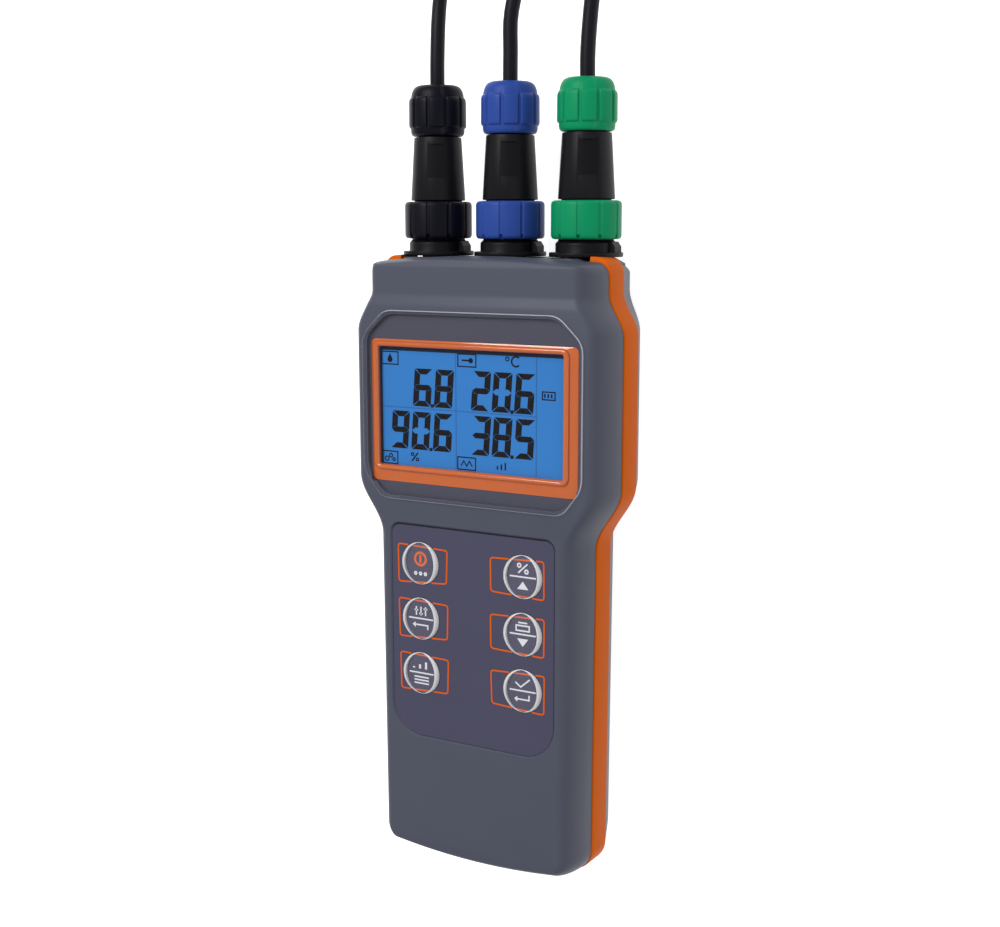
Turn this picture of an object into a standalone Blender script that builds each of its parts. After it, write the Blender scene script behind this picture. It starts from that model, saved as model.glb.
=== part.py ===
"""Handheld water quality meter with three screw-locked probe leads, lying on its back.

Metres, +Z up. +Y runs along the case from its bottom end to the connectors, +X to the right of the
keypad. Inside the script y is counted from the bottom end of the case; one empty shifts it all so
that the world origin lies under the middle of the case and its sockets.
"""
import math

import bmesh
import bpy
from mathutils import Vector

# Case: overall sizes
CASE_LENGTH = 0.1690
GRIP_HALF = 0.0319
GRIP_TAPER = 0.0005
HEAD_HALF = 0.0392
NECK_HALF = 0.0348
FRONT_HEIGHT = 0.0415
FRONT_DEPTH = 0.0115
BAND_THICK = 0.0090
WALL = 0.0024
GAP = 0.0003

# Case: outline seen from the front, with the head's places counted down from the top end
LOWER_FLARE_TOP = 0.0600
LOWER_FLARE_LENGTH = 0.0165
UPPER_FLARE_TOP = 0.0090
UPPER_FLARE_LENGTH = 0.0115
BOTTOM_CORNER = 0.0062
TOP_CORNER = 0.0034
LEAST_CORNER = 0.0006
BOTTOM_BOW = 0.0016
TOP_BOW = 0.0014

# Case: rounding of the front and back edges, as insets of the flat faces
FRONT_SIDE_INSET = 0.0048
FRONT_TOP_INSET = 0.0014
FRONT_BOTTOM_INSET = 0.0030
BACK_SIDE_INSET = 0.0010
BACK_TOP_INSET = 0.0034
BACK_BOTTOM_INSET = 0.0045
BACK_ROUND_HEIGHT = 0.0110
BACK_DRAFT = 0.0008
BACK_TAPER = 0.0092
BACK_NECK_SHARE = 0.70
BAND_PROUD = 0.0003
BAND_TOP_PROUD = 0.0006
BAND_LEDGE = 0.0050
BAND_LINE_GAP = 0.0003

# Neck step: the front face above the window lies a little lower
NECK_STEP = 0.0008
NECK_STEP_TOP = 0.0100
NECK_STEP_LENGTH = 0.0035

# Window, display and keypad, with their top ends counted down from the top end of the case
LENS_TOP_HALF = 0.0268
LENS_HALF = 0.0340
LENS_BOTTOM_HALF = 0.0282
LENS_TOP = 0.0145
LENS_LENGTH = 0.0515
LENS_TOP_CUT = 0.0070
LENS_BOTTOM_CUT = 0.0075
LENS_THICK = 0.0014
LENS_BEVEL = 0.0009
BEZEL_HALF = 0.0317
BEZEL_TOP = 0.0224
BEZEL_LENGTH = 0.0390
BEZEL_RIM = 0.0034
BEZEL_RIM_TOP = 0.0020
BEZEL_RIM_BOTTOM = 0.0046
BEZEL_DROP = 0.0003
BEZEL_THICK = 0.0013
BEZEL_FALL = 0.0009
BEZEL_CORNER = 0.0010
BEZEL_INNER_CORNER = 0.0006
BEZEL_SLOPE = 0.0006
WINDOW_CORNER = 0.0012
DISPLAY_MARGIN = 0.0014
DISPLAY_THICK = 0.0019
BOARD_THICK = 0.0016
BOARD_EDGE = 0.0011
KEYPAD_HALF = 0.0254
KEYPAD_TOP = 0.0731
KEYPAD_LENGTH = 0.0597
KEYPAD_TOP_RADIUS = 0.0025
KEYPAD_BOTTOM_RADIUS = 0.0090
KEYPAD_RECESS = 0.0012
KEYPAD_THICK = 0.0006
KEY_RADIUS = 0.0060
KEY_COLUMN = 0.0162
KEY_ROW_DROPS = (0.0104, 0.0261, 0.0417)
KEY_CROWN = 0.0010
KEY_RIM_DROP = 0.0001
KEY_FLANGE = 0.0012
KEY_FLANGE_RADIUS = 0.0071
KEY_STEM_RADIUS = 0.0025
KEY_TRAVEL = 0.0006

# Connectors, along +Y from the outer face of the top panel
CONNECTOR_PITCH = 0.0231
CONNECTOR_DROP = 0.0009
PANEL_EDGE = 0.0011
PANEL_BELOW = 0.0121
PANEL_ABOVE = 0.0131
PANEL_DROP = 0.0006
PANEL_THICK = 0.0044
SOCKET_FLANGE_RADIUS = 0.0098
SOCKET_FLANGE = 0.0012
SOCKET_COLLAR_RADIUS = 0.0081
SOCKET_COLLAR = 0.0034
SOCKET_THREAD_RADIUS = 0.0073
SOCKET_THREAD = 0.0072
SOCKET_CUP_RADIUS = 0.0058
SOCKET_TAIL_RADIUS = 0.0045
SOCKET_TAIL = 0.0040
SOCKET_NUT = 0.0028
SOCKET_NUT_RADIUS = 0.0068
RING_RADIUS = 0.0093
RING_LENGTH = 0.0100
RING_LIP = 0.0019
RING_FLUTES = 8
RING_FLUTE_DEPTH = 0.0006
PLUG_FLANGE = 0.0005
PLUG_NECK_RADIUS = 0.0065
PLUG_BASE_RADIUS = 0.0073
PLUG_END_RADIUS = 0.0061
PLUG_TAPER = 0.0170
PLUG_STUB_RADIUS = 0.0050
PLUG_STUB = 0.0080
PLUG_EDGE = 0.0007
GLAND_RADIUS = 0.0079
GLAND_LENGTH = 0.0135
GLAND_RIBS = 10
FLUTE_SHARES = (0.0, 0.56, 0.66, 0.90)
GLAND_RIB_DEPTH = 0.0007
GLAND_DOME = 0.0042
GLAND_SHOULDER_RADIUS = 0.00632
GLAND_MOUTH_RADIUS = 0.004582

# Battery bay, door and screws
CELL_RADIUS = 0.00525
CELL_LENGTH = 0.0445
CELL_NUB = 0.0008
CELL_NUB_RADIUS = 0.0023625
CELL_COUNT = 3
CELL_GAP = 0.0003
BAY_Y = 0.0300
BAY_WALL = 0.0016
STRIP_THICK = 0.0006
DOOR_THICK = 0.0020
DOOR_LEDGE = 0.0018
DOOR_TAB = 0.0100
DOOR_CORNER = 0.0037
SEAL_THICK = 0.0008
SEAL_CORNER = 0.0030
SEAL_INNER_CORNER = 0.0010
SCREW_RADIUS = 0.0013
SCREW_HEAD_RADIUS = 0.0027
SCREW_HEAD = 0.0018
SCREW_SINK = 0.0040
BOSS_RADIUS = 0.0032
LOWER_SCREW_Y = 0.0130
UPPER_SCREW_MARGIN = 0.0034

# Cables and probes
CABLE_DIAMETER = 0.0040
COIL_TURNS = 3
COIL_INNER = 0.0166
COIL_PITCH = 0.00455
COIL_CENTRE_Y = 0.2925
COIL_STACK_GAP = 0.0014
FLOOR_GAP = 0.0002
LOOP_POINTS = 24
PROBE_START_Y = 0.3660
PROBE_COLUMN = 0.0240
PROBE_CAP_RADIUS = 0.0070
PROBE_CAP = 0.0300
PROBE_SHAFT_RADIUS = 0.0060
PROBE_SHAFT = 0.0760
PROBE_TIP = 0.0180
PROBE_SLEEVE = 0.0120
PROBE_SLEEVE_RADIUS = 0.0036
PROBE_SLEEVE_END_RADIUS = 0.0026
PROBE_SPIGOT_RADIUS = 0.0042
PROBE_TIP_END_RADIUS = 0.0062
PROBE_EDGE = 0.0015

# Round pieces
STEPS = 16
KEY_STEPS = 12
HOLE_STEPS = 10
CABLE_SIDES = 2
LOOP_SIDES = 1

SIDES = ("left", "middle", "right")
SIDE_X = {"left": -1.0, "middle": 0.0, "right": 1.0}

# Heights and places worked out from the sizes above
BAND_TOP = FRONT_HEIGHT - FRONT_DEPTH
BAND_BOTTOM = BAND_TOP - BAND_THICK
LOWER_FLARE = (CASE_LENGTH - LOWER_FLARE_TOP - LOWER_FLARE_LENGTH, CASE_LENGTH - LOWER_FLARE_TOP)
UPPER_FLARE = (CASE_LENGTH - UPPER_FLARE_TOP - UPPER_FLARE_LENGTH, CASE_LENGTH - UPPER_FLARE_TOP)
NECK_STEP_SPAN = (CASE_LENGTH - NECK_STEP_TOP - NECK_STEP_LENGTH, CASE_LENGTH - NECK_STEP_TOP)
LENS_SPAN = (CASE_LENGTH - LENS_TOP - LENS_LENGTH, CASE_LENGTH - LENS_TOP)
BEZEL_SPAN = (CASE_LENGTH - BEZEL_TOP - BEZEL_LENGTH, CASE_LENGTH - BEZEL_TOP)
KEYPAD_SPAN = (CASE_LENGTH - KEYPAD_TOP - KEYPAD_LENGTH, CASE_LENGTH - KEYPAD_TOP)
CONNECTOR_HEIGHT = BAND_BOTTOM - CONNECTOR_DROP
PANEL_Z = (CONNECTOR_HEIGHT - PANEL_BELOW, CONNECTOR_HEIGHT + PANEL_ABOVE)
BOARD_Z = BAND_TOP + GAP
BACKLIGHT_Z = BOARD_Z + BOARD_THICK + GAP
BEZEL_Z = FRONT_HEIGHT - BEZEL_DROP - BEZEL_THICK
DISPLAY_Z = BEZEL_Z - GAP - DISPLAY_THICK
INNER_FRONT_Z = FRONT_HEIGHT - WALL
RECESS_Z = FRONT_HEIGHT - KEYPAD_RECESS
PANEL_FACE_Y = CASE_LENGTH - PANEL_DROP
PANEL_HALF = CONNECTOR_PITCH + SOCKET_TAIL_RADIUS + GAP + PANEL_EDGE
RING_START = SOCKET_FLANGE + SOCKET_COLLAR + GAP
RING_BORE = SOCKET_THREAD_RADIUS + GAP
THREAD_END = SOCKET_FLANGE + SOCKET_COLLAR + SOCKET_THREAD
PLUG_FLANGE_START = THREAD_END + GAP
RING_LIP_START = PLUG_FLANGE_START + PLUG_FLANGE + GAP
PLUG_BODY_START = max(RING_START + RING_LENGTH, RING_LIP_START + RING_LIP) + GAP
PLUG_BODY_END = PLUG_BODY_START + PLUG_TAPER
GLAND_START = PLUG_BODY_END + GAP
STUB_END = GLAND_START + PLUG_STUB
GLAND_END = GLAND_START + GLAND_LENGTH
CABLE_START = STUB_END + GAP
CABLE_RADIUS = CABLE_DIAMETER / 2.0
ORIGIN_Y = (PANEL_FACE_Y + THREAD_END) / 2.0

# Battery bay places
CELL_STEP = 2.0 * CELL_RADIUS + CELL_GAP
BAY_HALF = CELL_COUNT * CELL_STEP / 2.0 + GAP
BAY_LENGTH = CELL_LENGTH + 2.0 * (STRIP_THICK + 2.0 * GAP)
DOOR_HALF = BAY_HALF + DOOR_LEDGE
DOOR_SPAN = (BAY_Y - DOOR_TAB, BAY_Y + BAY_LENGTH + DOOR_LEDGE)
SEAL_Z = GAP + DOOR_THICK + GAP
LEDGE_Z = SEAL_Z + SEAL_THICK + GAP
CELL_Z = LEDGE_Z + CELL_RADIUS
BAY_ROOF_Z = CELL_Z + CELL_RADIUS + GAP

# Case screws stand inside the sloping back, at the bottom end and above the display
BOSS_CLEAR = BACK_TAPER + BOSS_RADIUS + BAY_WALL + 2.0 * GAP
SCREW_PLACES = ((GRIP_HALF - GRIP_TAPER - BOSS_CLEAR, LOWER_SCREW_Y),
                (NECK_HALF - BOSS_CLEAR, BEZEL_SPAN[1] + BOSS_RADIUS + UPPER_SCREW_MARGIN))

# Coil places
COIL_OUTER = COIL_INNER + COIL_TURNS * COIL_PITCH
COIL_HEIGHT = COIL_PITCH + CABLE_DIAMETER
COIL_STEP = COIL_HEIGHT + COIL_STACK_GAP
COIL_LEVEL = {"left": 0, "middle": 1, "right": 2}
COIL_TURN = {"left": -1.0, "middle": 1.0, "right": 1.0}


def clear_scene():
    for thing in list(bpy.data.objects):
        bpy.data.objects.remove(thing, do_unlink=True)


def new_collection(name):
    group = bpy.data.collections.new(name)
    bpy.context.scene.collection.children.link(group)
    return group


def material(name, colour, roughness, metallic=0.0, alpha=1.0):
    surface = bpy.data.materials.new(name)
    surface.use_nodes = True
    shader = surface.node_tree.nodes["Principled BSDF"]
    shader.inputs["Base Color"].default_value = (*colour, 1.0)
    shader.inputs["Roughness"].default_value = roughness
    shader.inputs["Metallic"].default_value = metallic
    shader.inputs["Alpha"].default_value = alpha
    return surface


clear_scene()
METER = new_collection("water_quality_meter")
CUTTERS = new_collection("cutters")
FRAME = bpy.data.objects.new("bottom_end", None)
FRAME.location = (0.0, -ORIGIN_Y, 0.0)
METER.objects.link(FRAME)

GREY = material("case_grey", (0.090, 0.098, 0.122), 0.55)
ORANGE = material("band_orange", (0.720, 0.180, 0.018), 0.45)
CLEAR = material("clear_window", (0.80, 0.82, 0.85), 0.08, alpha=0.3)
BLUE_LCD = material("display_blue", (0.060, 0.235, 0.580), 0.20)
WHITE = material("backlight_white", (0.80, 0.82, 0.85), 0.40)
PANEL_DARK = material("keypad_dark", (0.080, 0.076, 0.105), 0.45)
KEY_CLEAR = material("key_clear", (0.55, 0.55, 0.60), 0.15, alpha=0.5)
BOARD_GREEN = material("board_green", (0.020, 0.150, 0.050), 0.45)
BLACK = material("black_plastic", (0.012, 0.012, 0.016), 0.40)
STEEL = material("steel", (0.60, 0.60, 0.60), 0.30, metallic=1.0)
CELL_SKIN = material("cell_skin", (0.30, 0.30, 0.32), 0.35)
RUBBER = material("seal_rubber", (0.020, 0.020, 0.020), 0.80)
CABLE_BLACK = material("cable_black", (0.010, 0.010, 0.014), 0.50)
PROBE_GREY = material("probe_body", (0.030, 0.030, 0.035), 0.35)
PLUG_COLOUR = {
    "left": BLACK,
    "middle": material("plug_blue", (0.045, 0.105, 0.430), 0.38),
    "right": material("plug_green", (0.012, 0.350, 0.130), 0.38),
}


def place(thing, surface=None, cutter=False, location=(0.0, 0.0, 0.0), rotation=(0.0, 0.0, 0.0)):
    """Put an object in its collection, under the empty at the bottom end of the case."""
    group = CUTTERS if cutter else METER
    group.objects.link(thing)
    thing.parent = FRAME
    thing.location = location
    thing.rotation_euler = rotation
    if surface is not None:
        thing.data.materials.append(surface)
    if cutter:
        thing.hide_render = True
        thing.display_type = "WIRE"
    return thing


def smooth(mesh, degrees=35.0):
    mesh.shade_smooth()
    mesh.set_sharp_from_angle(angle=math.radians(degrees))


def loft(name, rings, surface=None, closed=False, **where):
    """Skin a list of rings with equal point counts; the end rings are capped unless closed."""
    shape = bmesh.new()
    loops = []
    for ring in rings:
        loops.append([shape.verts.new(point) for point in ring])
    count = len(loops[0])
    pairs = list(zip(loops[:-1], loops[1:]))
    if closed:
        pairs.append((loops[-1], loops[0]))
    for lower, upper in pairs:
        for i in range(count):
            j = (i + 1) % count
            shape.faces.new((lower[i], lower[j], upper[j], upper[i]))
    if not closed:
        shape.faces.new(list(reversed(loops[0])))
        shape.faces.new(loops[-1])
    bmesh.ops.recalc_face_normals(shape, faces=shape.faces)
    mesh = bpy.data.meshes.new(name)
    shape.to_mesh(mesh)
    shape.free()
    smooth(mesh)
    return place(bpy.data.objects.new(name, mesh), surface, **where)


def box(name, low, high, surface=None, **where):
    """A box between two corners, counted from the bottom end of the case."""
    shape = bmesh.new()
    bmesh.ops.create_cube(shape, size=1.0)
    size = [b - a for a, b in zip(low, high)]
    middle = [(a + b) / 2.0 for a, b in zip(low, high)]
    bmesh.ops.scale(shape, vec=size, verts=shape.verts)
    bmesh.ops.translate(shape, vec=middle, verts=shape.verts)
    mesh = bpy.data.meshes.new(name)
    shape.to_mesh(mesh)
    shape.free()
    return place(bpy.data.objects.new(name, mesh), surface, **where)


def rod(name, radius, low, high, surface=None, steps=STEPS, **where):
    """An upright round rod between two heights, about its own origin."""
    shape = bmesh.new()
    bmesh.ops.create_cone(shape, cap_ends=True, segments=steps, radius1=radius, radius2=radius,
                          depth=high - low)
    bmesh.ops.translate(shape, vec=(0.0, 0.0, (low + high) / 2.0), verts=shape.verts)
    mesh = bpy.data.meshes.new(name)
    shape.to_mesh(mesh)
    shape.free()
    smooth(mesh)
    return place(bpy.data.objects.new(name, mesh), surface, **where)


def turned(name, profile, surface=None, steps=STEPS, closed=False, **where):
    """A profile of (radius, height), listed down its outer side, turned about its own Z axis."""
    shape = bmesh.new()
    points = [shape.verts.new((radius, 0.0, height)) for radius, height in profile]
    for first, second in zip(points[:-1], points[1:]):
        shape.edges.new((first, second))
    if closed:
        shape.edges.new((points[-1], points[0]))
    mesh = bpy.data.meshes.new(name)
    shape.to_mesh(mesh)
    shape.free()
    thing = place(bpy.data.objects.new(name, mesh), surface, **where)
    screw = thing.modifiers.new("turn", "SCREW")
    screw.steps = steps
    screw.render_steps = steps
    screw.use_merge_vertices = True
    screw.merge_threshold = 1e-6
    screw.use_smooth_shade = True
    return thing


def plate(name, points, low, high, surface=None, **where):
    """A flat outline between two heights."""
    lower = [(x, y, low) for x, y in points]
    upper = [(x, y, high) for x, y in points]
    return loft(name, [lower, upper], surface, **where)


def tube(name, points, sides, surface=None, **where):
    """A round cable along a list of points, with filled ends."""
    path = bpy.data.curves.new(name, "CURVE")
    path.dimensions = "3D"
    path.bevel_depth = CABLE_RADIUS
    path.bevel_resolution = sides
    path.use_fill_caps = True
    line = path.splines.new("POLY")
    line.points.add(len(points) - 1)
    for spot, point in zip(line.points, points):
        spot.co = (*point, 1.0)
    return place(bpy.data.objects.new(name, path), surface, **where)


def cut(thing, cutter, operation="DIFFERENCE"):
    step = thing.modifiers.new(cutter.name, "BOOLEAN")
    step.operation = operation
    step.solver = "EXACT"
    step.object = cutter


def ease(t):
    return 0.5 - 0.5 * math.cos(math.pi * t)


def case_outline(side, bottom, top, taper):
    """The case's outline seen from the front, drawn in by its own inset on each side and by a taper."""
    grip = GRIP_HALF - side - taper
    grip_low = grip - GRIP_TAPER
    head = HEAD_HALF - side - taper
    neck = NECK_HALF - side - BACK_NECK_SHARE * taper
    least = LEAST_CORNER
    corner_x = max(BOTTOM_CORNER - side, least)
    corner_y = max(BOTTOM_CORNER - bottom, least)
    top_x = max(TOP_CORNER - side, least)
    top_y = max(TOP_CORNER - top, least)
    half = []
    flat = grip_low - corner_x
    for i in range(3):
        x = flat * i / 3.0
        half.append((x, bottom + BOTTOM_BOW * (x / flat) ** 2))
    for i in range(4):
        turn = math.radians(90.0 * i / 3.0)
        x = flat + corner_x * math.sin(turn)
        half.append((x, bottom + BOTTOM_BOW + corner_y * (1.0 - math.cos(turn))))
    for i in range(6):
        t = i / 5.0
        y = LOWER_FLARE[0] + (LOWER_FLARE[1] - LOWER_FLARE[0]) * t
        half.append((grip + (head - grip) * ease(t), y))
    for i in range(5):
        t = i / 4.0
        y = UPPER_FLARE[0] + (UPPER_FLARE[1] - UPPER_FLARE[0]) * t
        half.append((head + (neck - head) * ease(t), y))
    end = CASE_LENGTH - top
    flat = neck - top_x
    for i in range(4):
        turn = math.radians(90.0 * i / 3.0)
        x = flat + top_x * math.cos(turn)
        half.append((x, end - TOP_BOW - top_y * (1.0 - math.sin(turn))))
    for i in range(2, -1, -1):
        x = flat * i / 3.0
        half.append((x, end - TOP_BOW * (x / flat) ** 2))
    mirrored = [(-x, y) for x, y in reversed(half[1:-1])]
    return half + mirrored


def case_ring(side, bottom, top, height, taper=0.0):
    return [(x, y, height) for x, y in case_outline(side, bottom, top, taper)]


def front_rings(inset, low, high):
    """Rings of the front shell's rounded skin, from the band up to the flat front."""
    rings = []
    for degrees in (0.0, 30.0, 55.0, 74.0, 90.0):
        out = 1.0 - math.cos(math.radians(degrees))
        rise = math.sin(math.radians(degrees))
        rings.append(case_ring(inset + FRONT_SIDE_INSET * out, inset + FRONT_BOTTOM_INSET * out,
                               inset + FRONT_TOP_INSET * out, low + (high - low) * rise))
    return rings


def back_rings(inset, low, high):
    """Rings of the back shell's skin, from the flat back up to the band, with sides that slope inwards."""
    rings = []
    for degrees in (90.0, 62.0, 32.0, 0.0):
        out = 1.0 - math.cos(math.radians(degrees))
        drop = math.sin(math.radians(degrees))
        height = low + BACK_ROUND_HEIGHT * (1.0 - drop)
        rings.append(case_ring(inset + BACK_SIDE_INSET * out,
                               inset + BACK_DRAFT + BACK_BOTTOM_INSET * out,
                               inset + BACK_DRAFT + BACK_TOP_INSET * out,
                               height, BACK_TAPER * (1.0 - height / BAND_BOTTOM)))
    rings.append(case_ring(inset, inset, inset, high))
    return rings


def rounded_outline(half, span, low_radius, high_radius, points=5):
    """A rectangle centred on x = 0 with its own corner radius at each end."""
    outline = []
    corners = ((half - low_radius, span[0] + low_radius, low_radius, -90.0),
               (half - high_radius, span[1] - high_radius, high_radius, 0.0),
               (high_radius - half, span[1] - high_radius, high_radius, 90.0),
               (low_radius - half, span[0] + low_radius, low_radius, 180.0))
    for x, y, radius, start in corners:
        for i in range(points):
            turn = math.radians(start + 90.0 * i / (points - 1))
            outline.append((x + radius * math.cos(turn), y + radius * math.sin(turn)))
    return outline


def screw_spots():
    for x, y in SCREW_PLACES:
        for sign in (-1.0, 1.0):
            yield sign * x, y


def key_spots():
    for side, sign in (("left", -1.0), ("right", 1.0)):
        for row, drop in enumerate(KEY_ROW_DROPS, start=1):
            yield "key_%s_%d" % (side, row), sign * KEY_COLUMN, KEYPAD_SPAN[1] - drop


def make_front_shell():
    shell = loft("front_shell", front_rings(0.0, BAND_TOP, FRONT_HEIGHT), GREY)
    hollow = [case_ring(WALL, WALL, WALL, BAND_TOP - WALL)]
    hollow += front_rings(WALL, BAND_TOP, INNER_FRONT_Z)[::2]
    cut(shell, loft("front_hollow", hollow, cutter=True))
    reach = HEAD_HALF + WALL
    top = FRONT_HEIGHT + WALL
    profile = ((NECK_STEP_SPAN[0], FRONT_HEIGHT), (NECK_STEP_SPAN[1], FRONT_HEIGHT - NECK_STEP),
               (CASE_LENGTH + WALL, FRONT_HEIGHT - NECK_STEP), (CASE_LENGTH + WALL, top),
               (NECK_STEP_SPAN[0], top))
    ends = [[(x, y, z) for y, z in profile] for x in (-reach, reach)]
    cut(shell, loft("neck_step", ends, cutter=True))
    window = rounded_outline(BEZEL_HALF + GAP, (BEZEL_SPAN[0] - GAP, BEZEL_SPAN[1] + GAP),
                             WINDOW_CORNER, WINDOW_CORNER)
    cut(shell, plate("window_hole", window, BAND_TOP, top, cutter=True))
    recess = rounded_outline(KEYPAD_HALF + GAP, (KEYPAD_SPAN[0] - GAP, KEYPAD_SPAN[1] + GAP),
                             KEYPAD_BOTTOM_RADIUS + GAP, KEYPAD_TOP_RADIUS + GAP)
    cut(shell, plate("keypad_recess", recess, RECESS_Z, top, cutter=True))
    for name, x, y in key_spots():
        cut(shell, rod(name + "_hole", KEY_RADIUS + GAP, BAND_TOP, top, cutter=True, steps=KEY_STEPS,
                       location=(x, y, 0.0)))
    opening = PANEL_HALF + GAP
    cut(shell, box("panel_slot_front", (-opening, PANEL_FACE_Y - PANEL_THICK - GAP, BAND_BOTTOM),
                   (opening, CASE_LENGTH + WALL, PANEL_Z[1] + GAP), cutter=True))
    for i, (x, y) in enumerate(screw_spots()):
        boss = rod("front_boss_%d" % i, BOSS_RADIUS, BAND_BOTTOM + 2.0 * GAP, INNER_FRONT_Z + GAP,
                   cutter=True, steps=HOLE_STEPS, location=(x, y, 0.0))
        cut(shell, boss, "UNION")
        drill = rod("front_drill_%d" % i, SCREW_RADIUS + GAP, 0.0, INNER_FRONT_Z - WALL,
                    cutter=True, steps=HOLE_STEPS, location=(x, y, 0.0))
        cut(shell, drill)


def make_mid_band():
    low = BAND_BOTTOM + BAND_LINE_GAP
    high = BAND_TOP - BAND_LINE_GAP
    proud = -BAND_PROUD
    skin = [case_ring(proud, proud, -BAND_TOP_PROUD, low), case_ring(proud, proud, -BAND_TOP_PROUD, high)]
    band = loft("mid_band", skin, ORANGE)
    hollow = [case_ring(BAND_LEDGE, BAND_LEDGE, BAND_LEDGE, low - WALL),
              case_ring(BAND_LEDGE, BAND_LEDGE, BAND_LEDGE, high + WALL)]
    cut(band, loft("band_hollow", hollow, cutter=True))
    opening = PANEL_HALF + GAP
    cut(band, box("panel_slot_band", (-opening, CASE_LENGTH - 2.0 * BAND_LEDGE, low - WALL),
                  (opening, CASE_LENGTH + WALL, high + WALL), cutter=True))


def make_back_shell():
    shell = loft("back_shell", back_rings(0.0, 0.0, BAND_BOTTOM), GREY)
    hollow = back_rings(WALL, WALL, BAND_BOTTOM)
    hollow.append(case_ring(WALL, WALL, WALL, BAND_BOTTOM + WALL))
    cut(shell, loft("back_hollow", hollow, cutter=True))
    half = DOOR_HALF + BAY_WALL
    block = box("bay_block", (-half, DOOR_SPAN[0] - BAY_WALL, WALL / 2.0),
                (half, DOOR_SPAN[1] + BAY_WALL, BAY_ROOF_Z + BAY_WALL), cutter=True)
    cut(shell, block, "UNION")
    bay = box("bay_pocket", (-BAY_HALF, BAY_Y, -WALL),
              (BAY_HALF, BAY_Y + BAY_LENGTH, BAY_ROOF_Z), cutter=True)
    cut(shell, bay)
    door = rounded_outline(DOOR_HALF + GAP, (DOOR_SPAN[0] - GAP, DOOR_SPAN[1] + GAP),
                           DOOR_CORNER + GAP, DOOR_CORNER + GAP)
    cut(shell, plate("door_recess", door, -WALL, LEDGE_Z, cutter=True))
    opening = PANEL_HALF + GAP
    cut(shell, box("panel_slot_back", (-opening, PANEL_FACE_Y - PANEL_THICK - GAP, PANEL_Z[0] - GAP),
                   (opening, CASE_LENGTH + WALL, BAND_BOTTOM + WALL), cutter=True))
    for i, (x, y) in enumerate(screw_spots()):
        boss = rod("back_boss_%d" % i, BOSS_RADIUS + BAY_WALL, WALL / 2.0, BAND_BOTTOM,
                   cutter=True, steps=HOLE_STEPS, location=(x, y, 0.0))
        cut(shell, boss, "UNION")
        drill = rod("back_drill_%d" % i, SCREW_RADIUS + GAP, -WALL, BAND_BOTTOM + WALL,
                    cutter=True, steps=HOLE_STEPS, location=(x, y, 0.0))
        cut(shell, drill)
        sink = rod("back_sink_%d" % i, SCREW_HEAD_RADIUS + GAP, -WALL, SCREW_SINK,
                   cutter=True, steps=HOLE_STEPS, location=(x, y, 0.0))
        cut(shell, sink)
    drill = rod("door_drill", SCREW_RADIUS + GAP, 0.0, BAY_ROOF_Z, cutter=True, steps=HOLE_STEPS,
                location=(0.0, BAY_Y - DOOR_TAB / 2.0, 0.0))
    cut(shell, drill)


def screw(name, x, y, head_z, length):
    """A round-headed screw, head down, as it sits in the back."""
    profile = ((0.0, head_z + length), (SCREW_RADIUS, head_z + length), (SCREW_RADIUS, head_z + SCREW_HEAD),
               (SCREW_HEAD_RADIUS, head_z + SCREW_HEAD), (SCREW_HEAD_RADIUS, head_z + GAP), (0.0, head_z))
    turned(name, profile, STEEL, steps=HOLE_STEPS, location=(x, y, 0.0))


def make_screws():
    head_z = SCREW_SINK - SCREW_HEAD - GAP
    for i, (x, y) in enumerate(screw_spots(), start=1):
        screw("case_screw_%d" % i, x, y, head_z, BAND_TOP - head_z)
    screw("door_screw", 0.0, BAY_Y - DOOR_TAB / 2.0, 2.0 * GAP, BAY_ROOF_Z - 4.0 * GAP)


def make_window():
    low = FRONT_HEIGHT + GAP
    high = low + LENS_THICK

    def eight_sides(inset):
        top = LENS_SPAN[1] - inset
        bottom = LENS_SPAN[0] + inset
        right = ((LENS_BOTTOM_HALF - inset / 2.0, bottom),
                 (LENS_HALF - inset, LENS_SPAN[0] + LENS_BOTTOM_CUT),
                 (LENS_HALF - inset, LENS_SPAN[1] - LENS_TOP_CUT),
                 (LENS_TOP_HALF - inset / 2.0, top))
        return list(right) + [(-x, y) for x, y in reversed(right)]

    foot = [(x, y, low) for x, y in eight_sides(0.0)]
    waist = [(x, y, high - LENS_BEVEL) for x, y in eight_sides(0.0)]
    face = [(x, y, high) for x, y in eight_sides(LENS_BEVEL)]
    loft("window_lens", [foot, waist, face], CLEAR)


def frame_rings(half, span, radius, height):
    return [(x, y, height) for x, y in rounded_outline(half, span, radius, radius)]


def make_display():
    high = BEZEL_Z + BEZEL_THICK
    inner_half = BEZEL_HALF - BEZEL_RIM
    inner_span = (BEZEL_SPAN[0] + BEZEL_RIM_BOTTOM, BEZEL_SPAN[1] - BEZEL_RIM_TOP)
    wide_span = (inner_span[0] - BEZEL_SLOPE, inner_span[1] + BEZEL_SLOPE)
    rings = [frame_rings(BEZEL_HALF, BEZEL_SPAN, BEZEL_CORNER, BEZEL_Z),
             frame_rings(BEZEL_HALF, BEZEL_SPAN, BEZEL_CORNER, high - BEZEL_FALL),
             frame_rings(inner_half + BEZEL_SLOPE, wide_span, BEZEL_CORNER, high),
             frame_rings(inner_half, inner_span, BEZEL_INNER_CORNER, BEZEL_Z)]
    loft("display_bezel", rings, ORANGE, closed=True)
    half = inner_half + DISPLAY_MARGIN
    low_y = inner_span[0] - DISPLAY_MARGIN
    high_y = inner_span[1] + DISPLAY_MARGIN
    box("display_panel", (-half, low_y, DISPLAY_Z), (half, high_y, BEZEL_Z - GAP), BLUE_LCD)
    box("backlight_panel", (-half, low_y, BACKLIGHT_Z), (half, high_y, DISPLAY_Z - GAP), WHITE)


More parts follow.
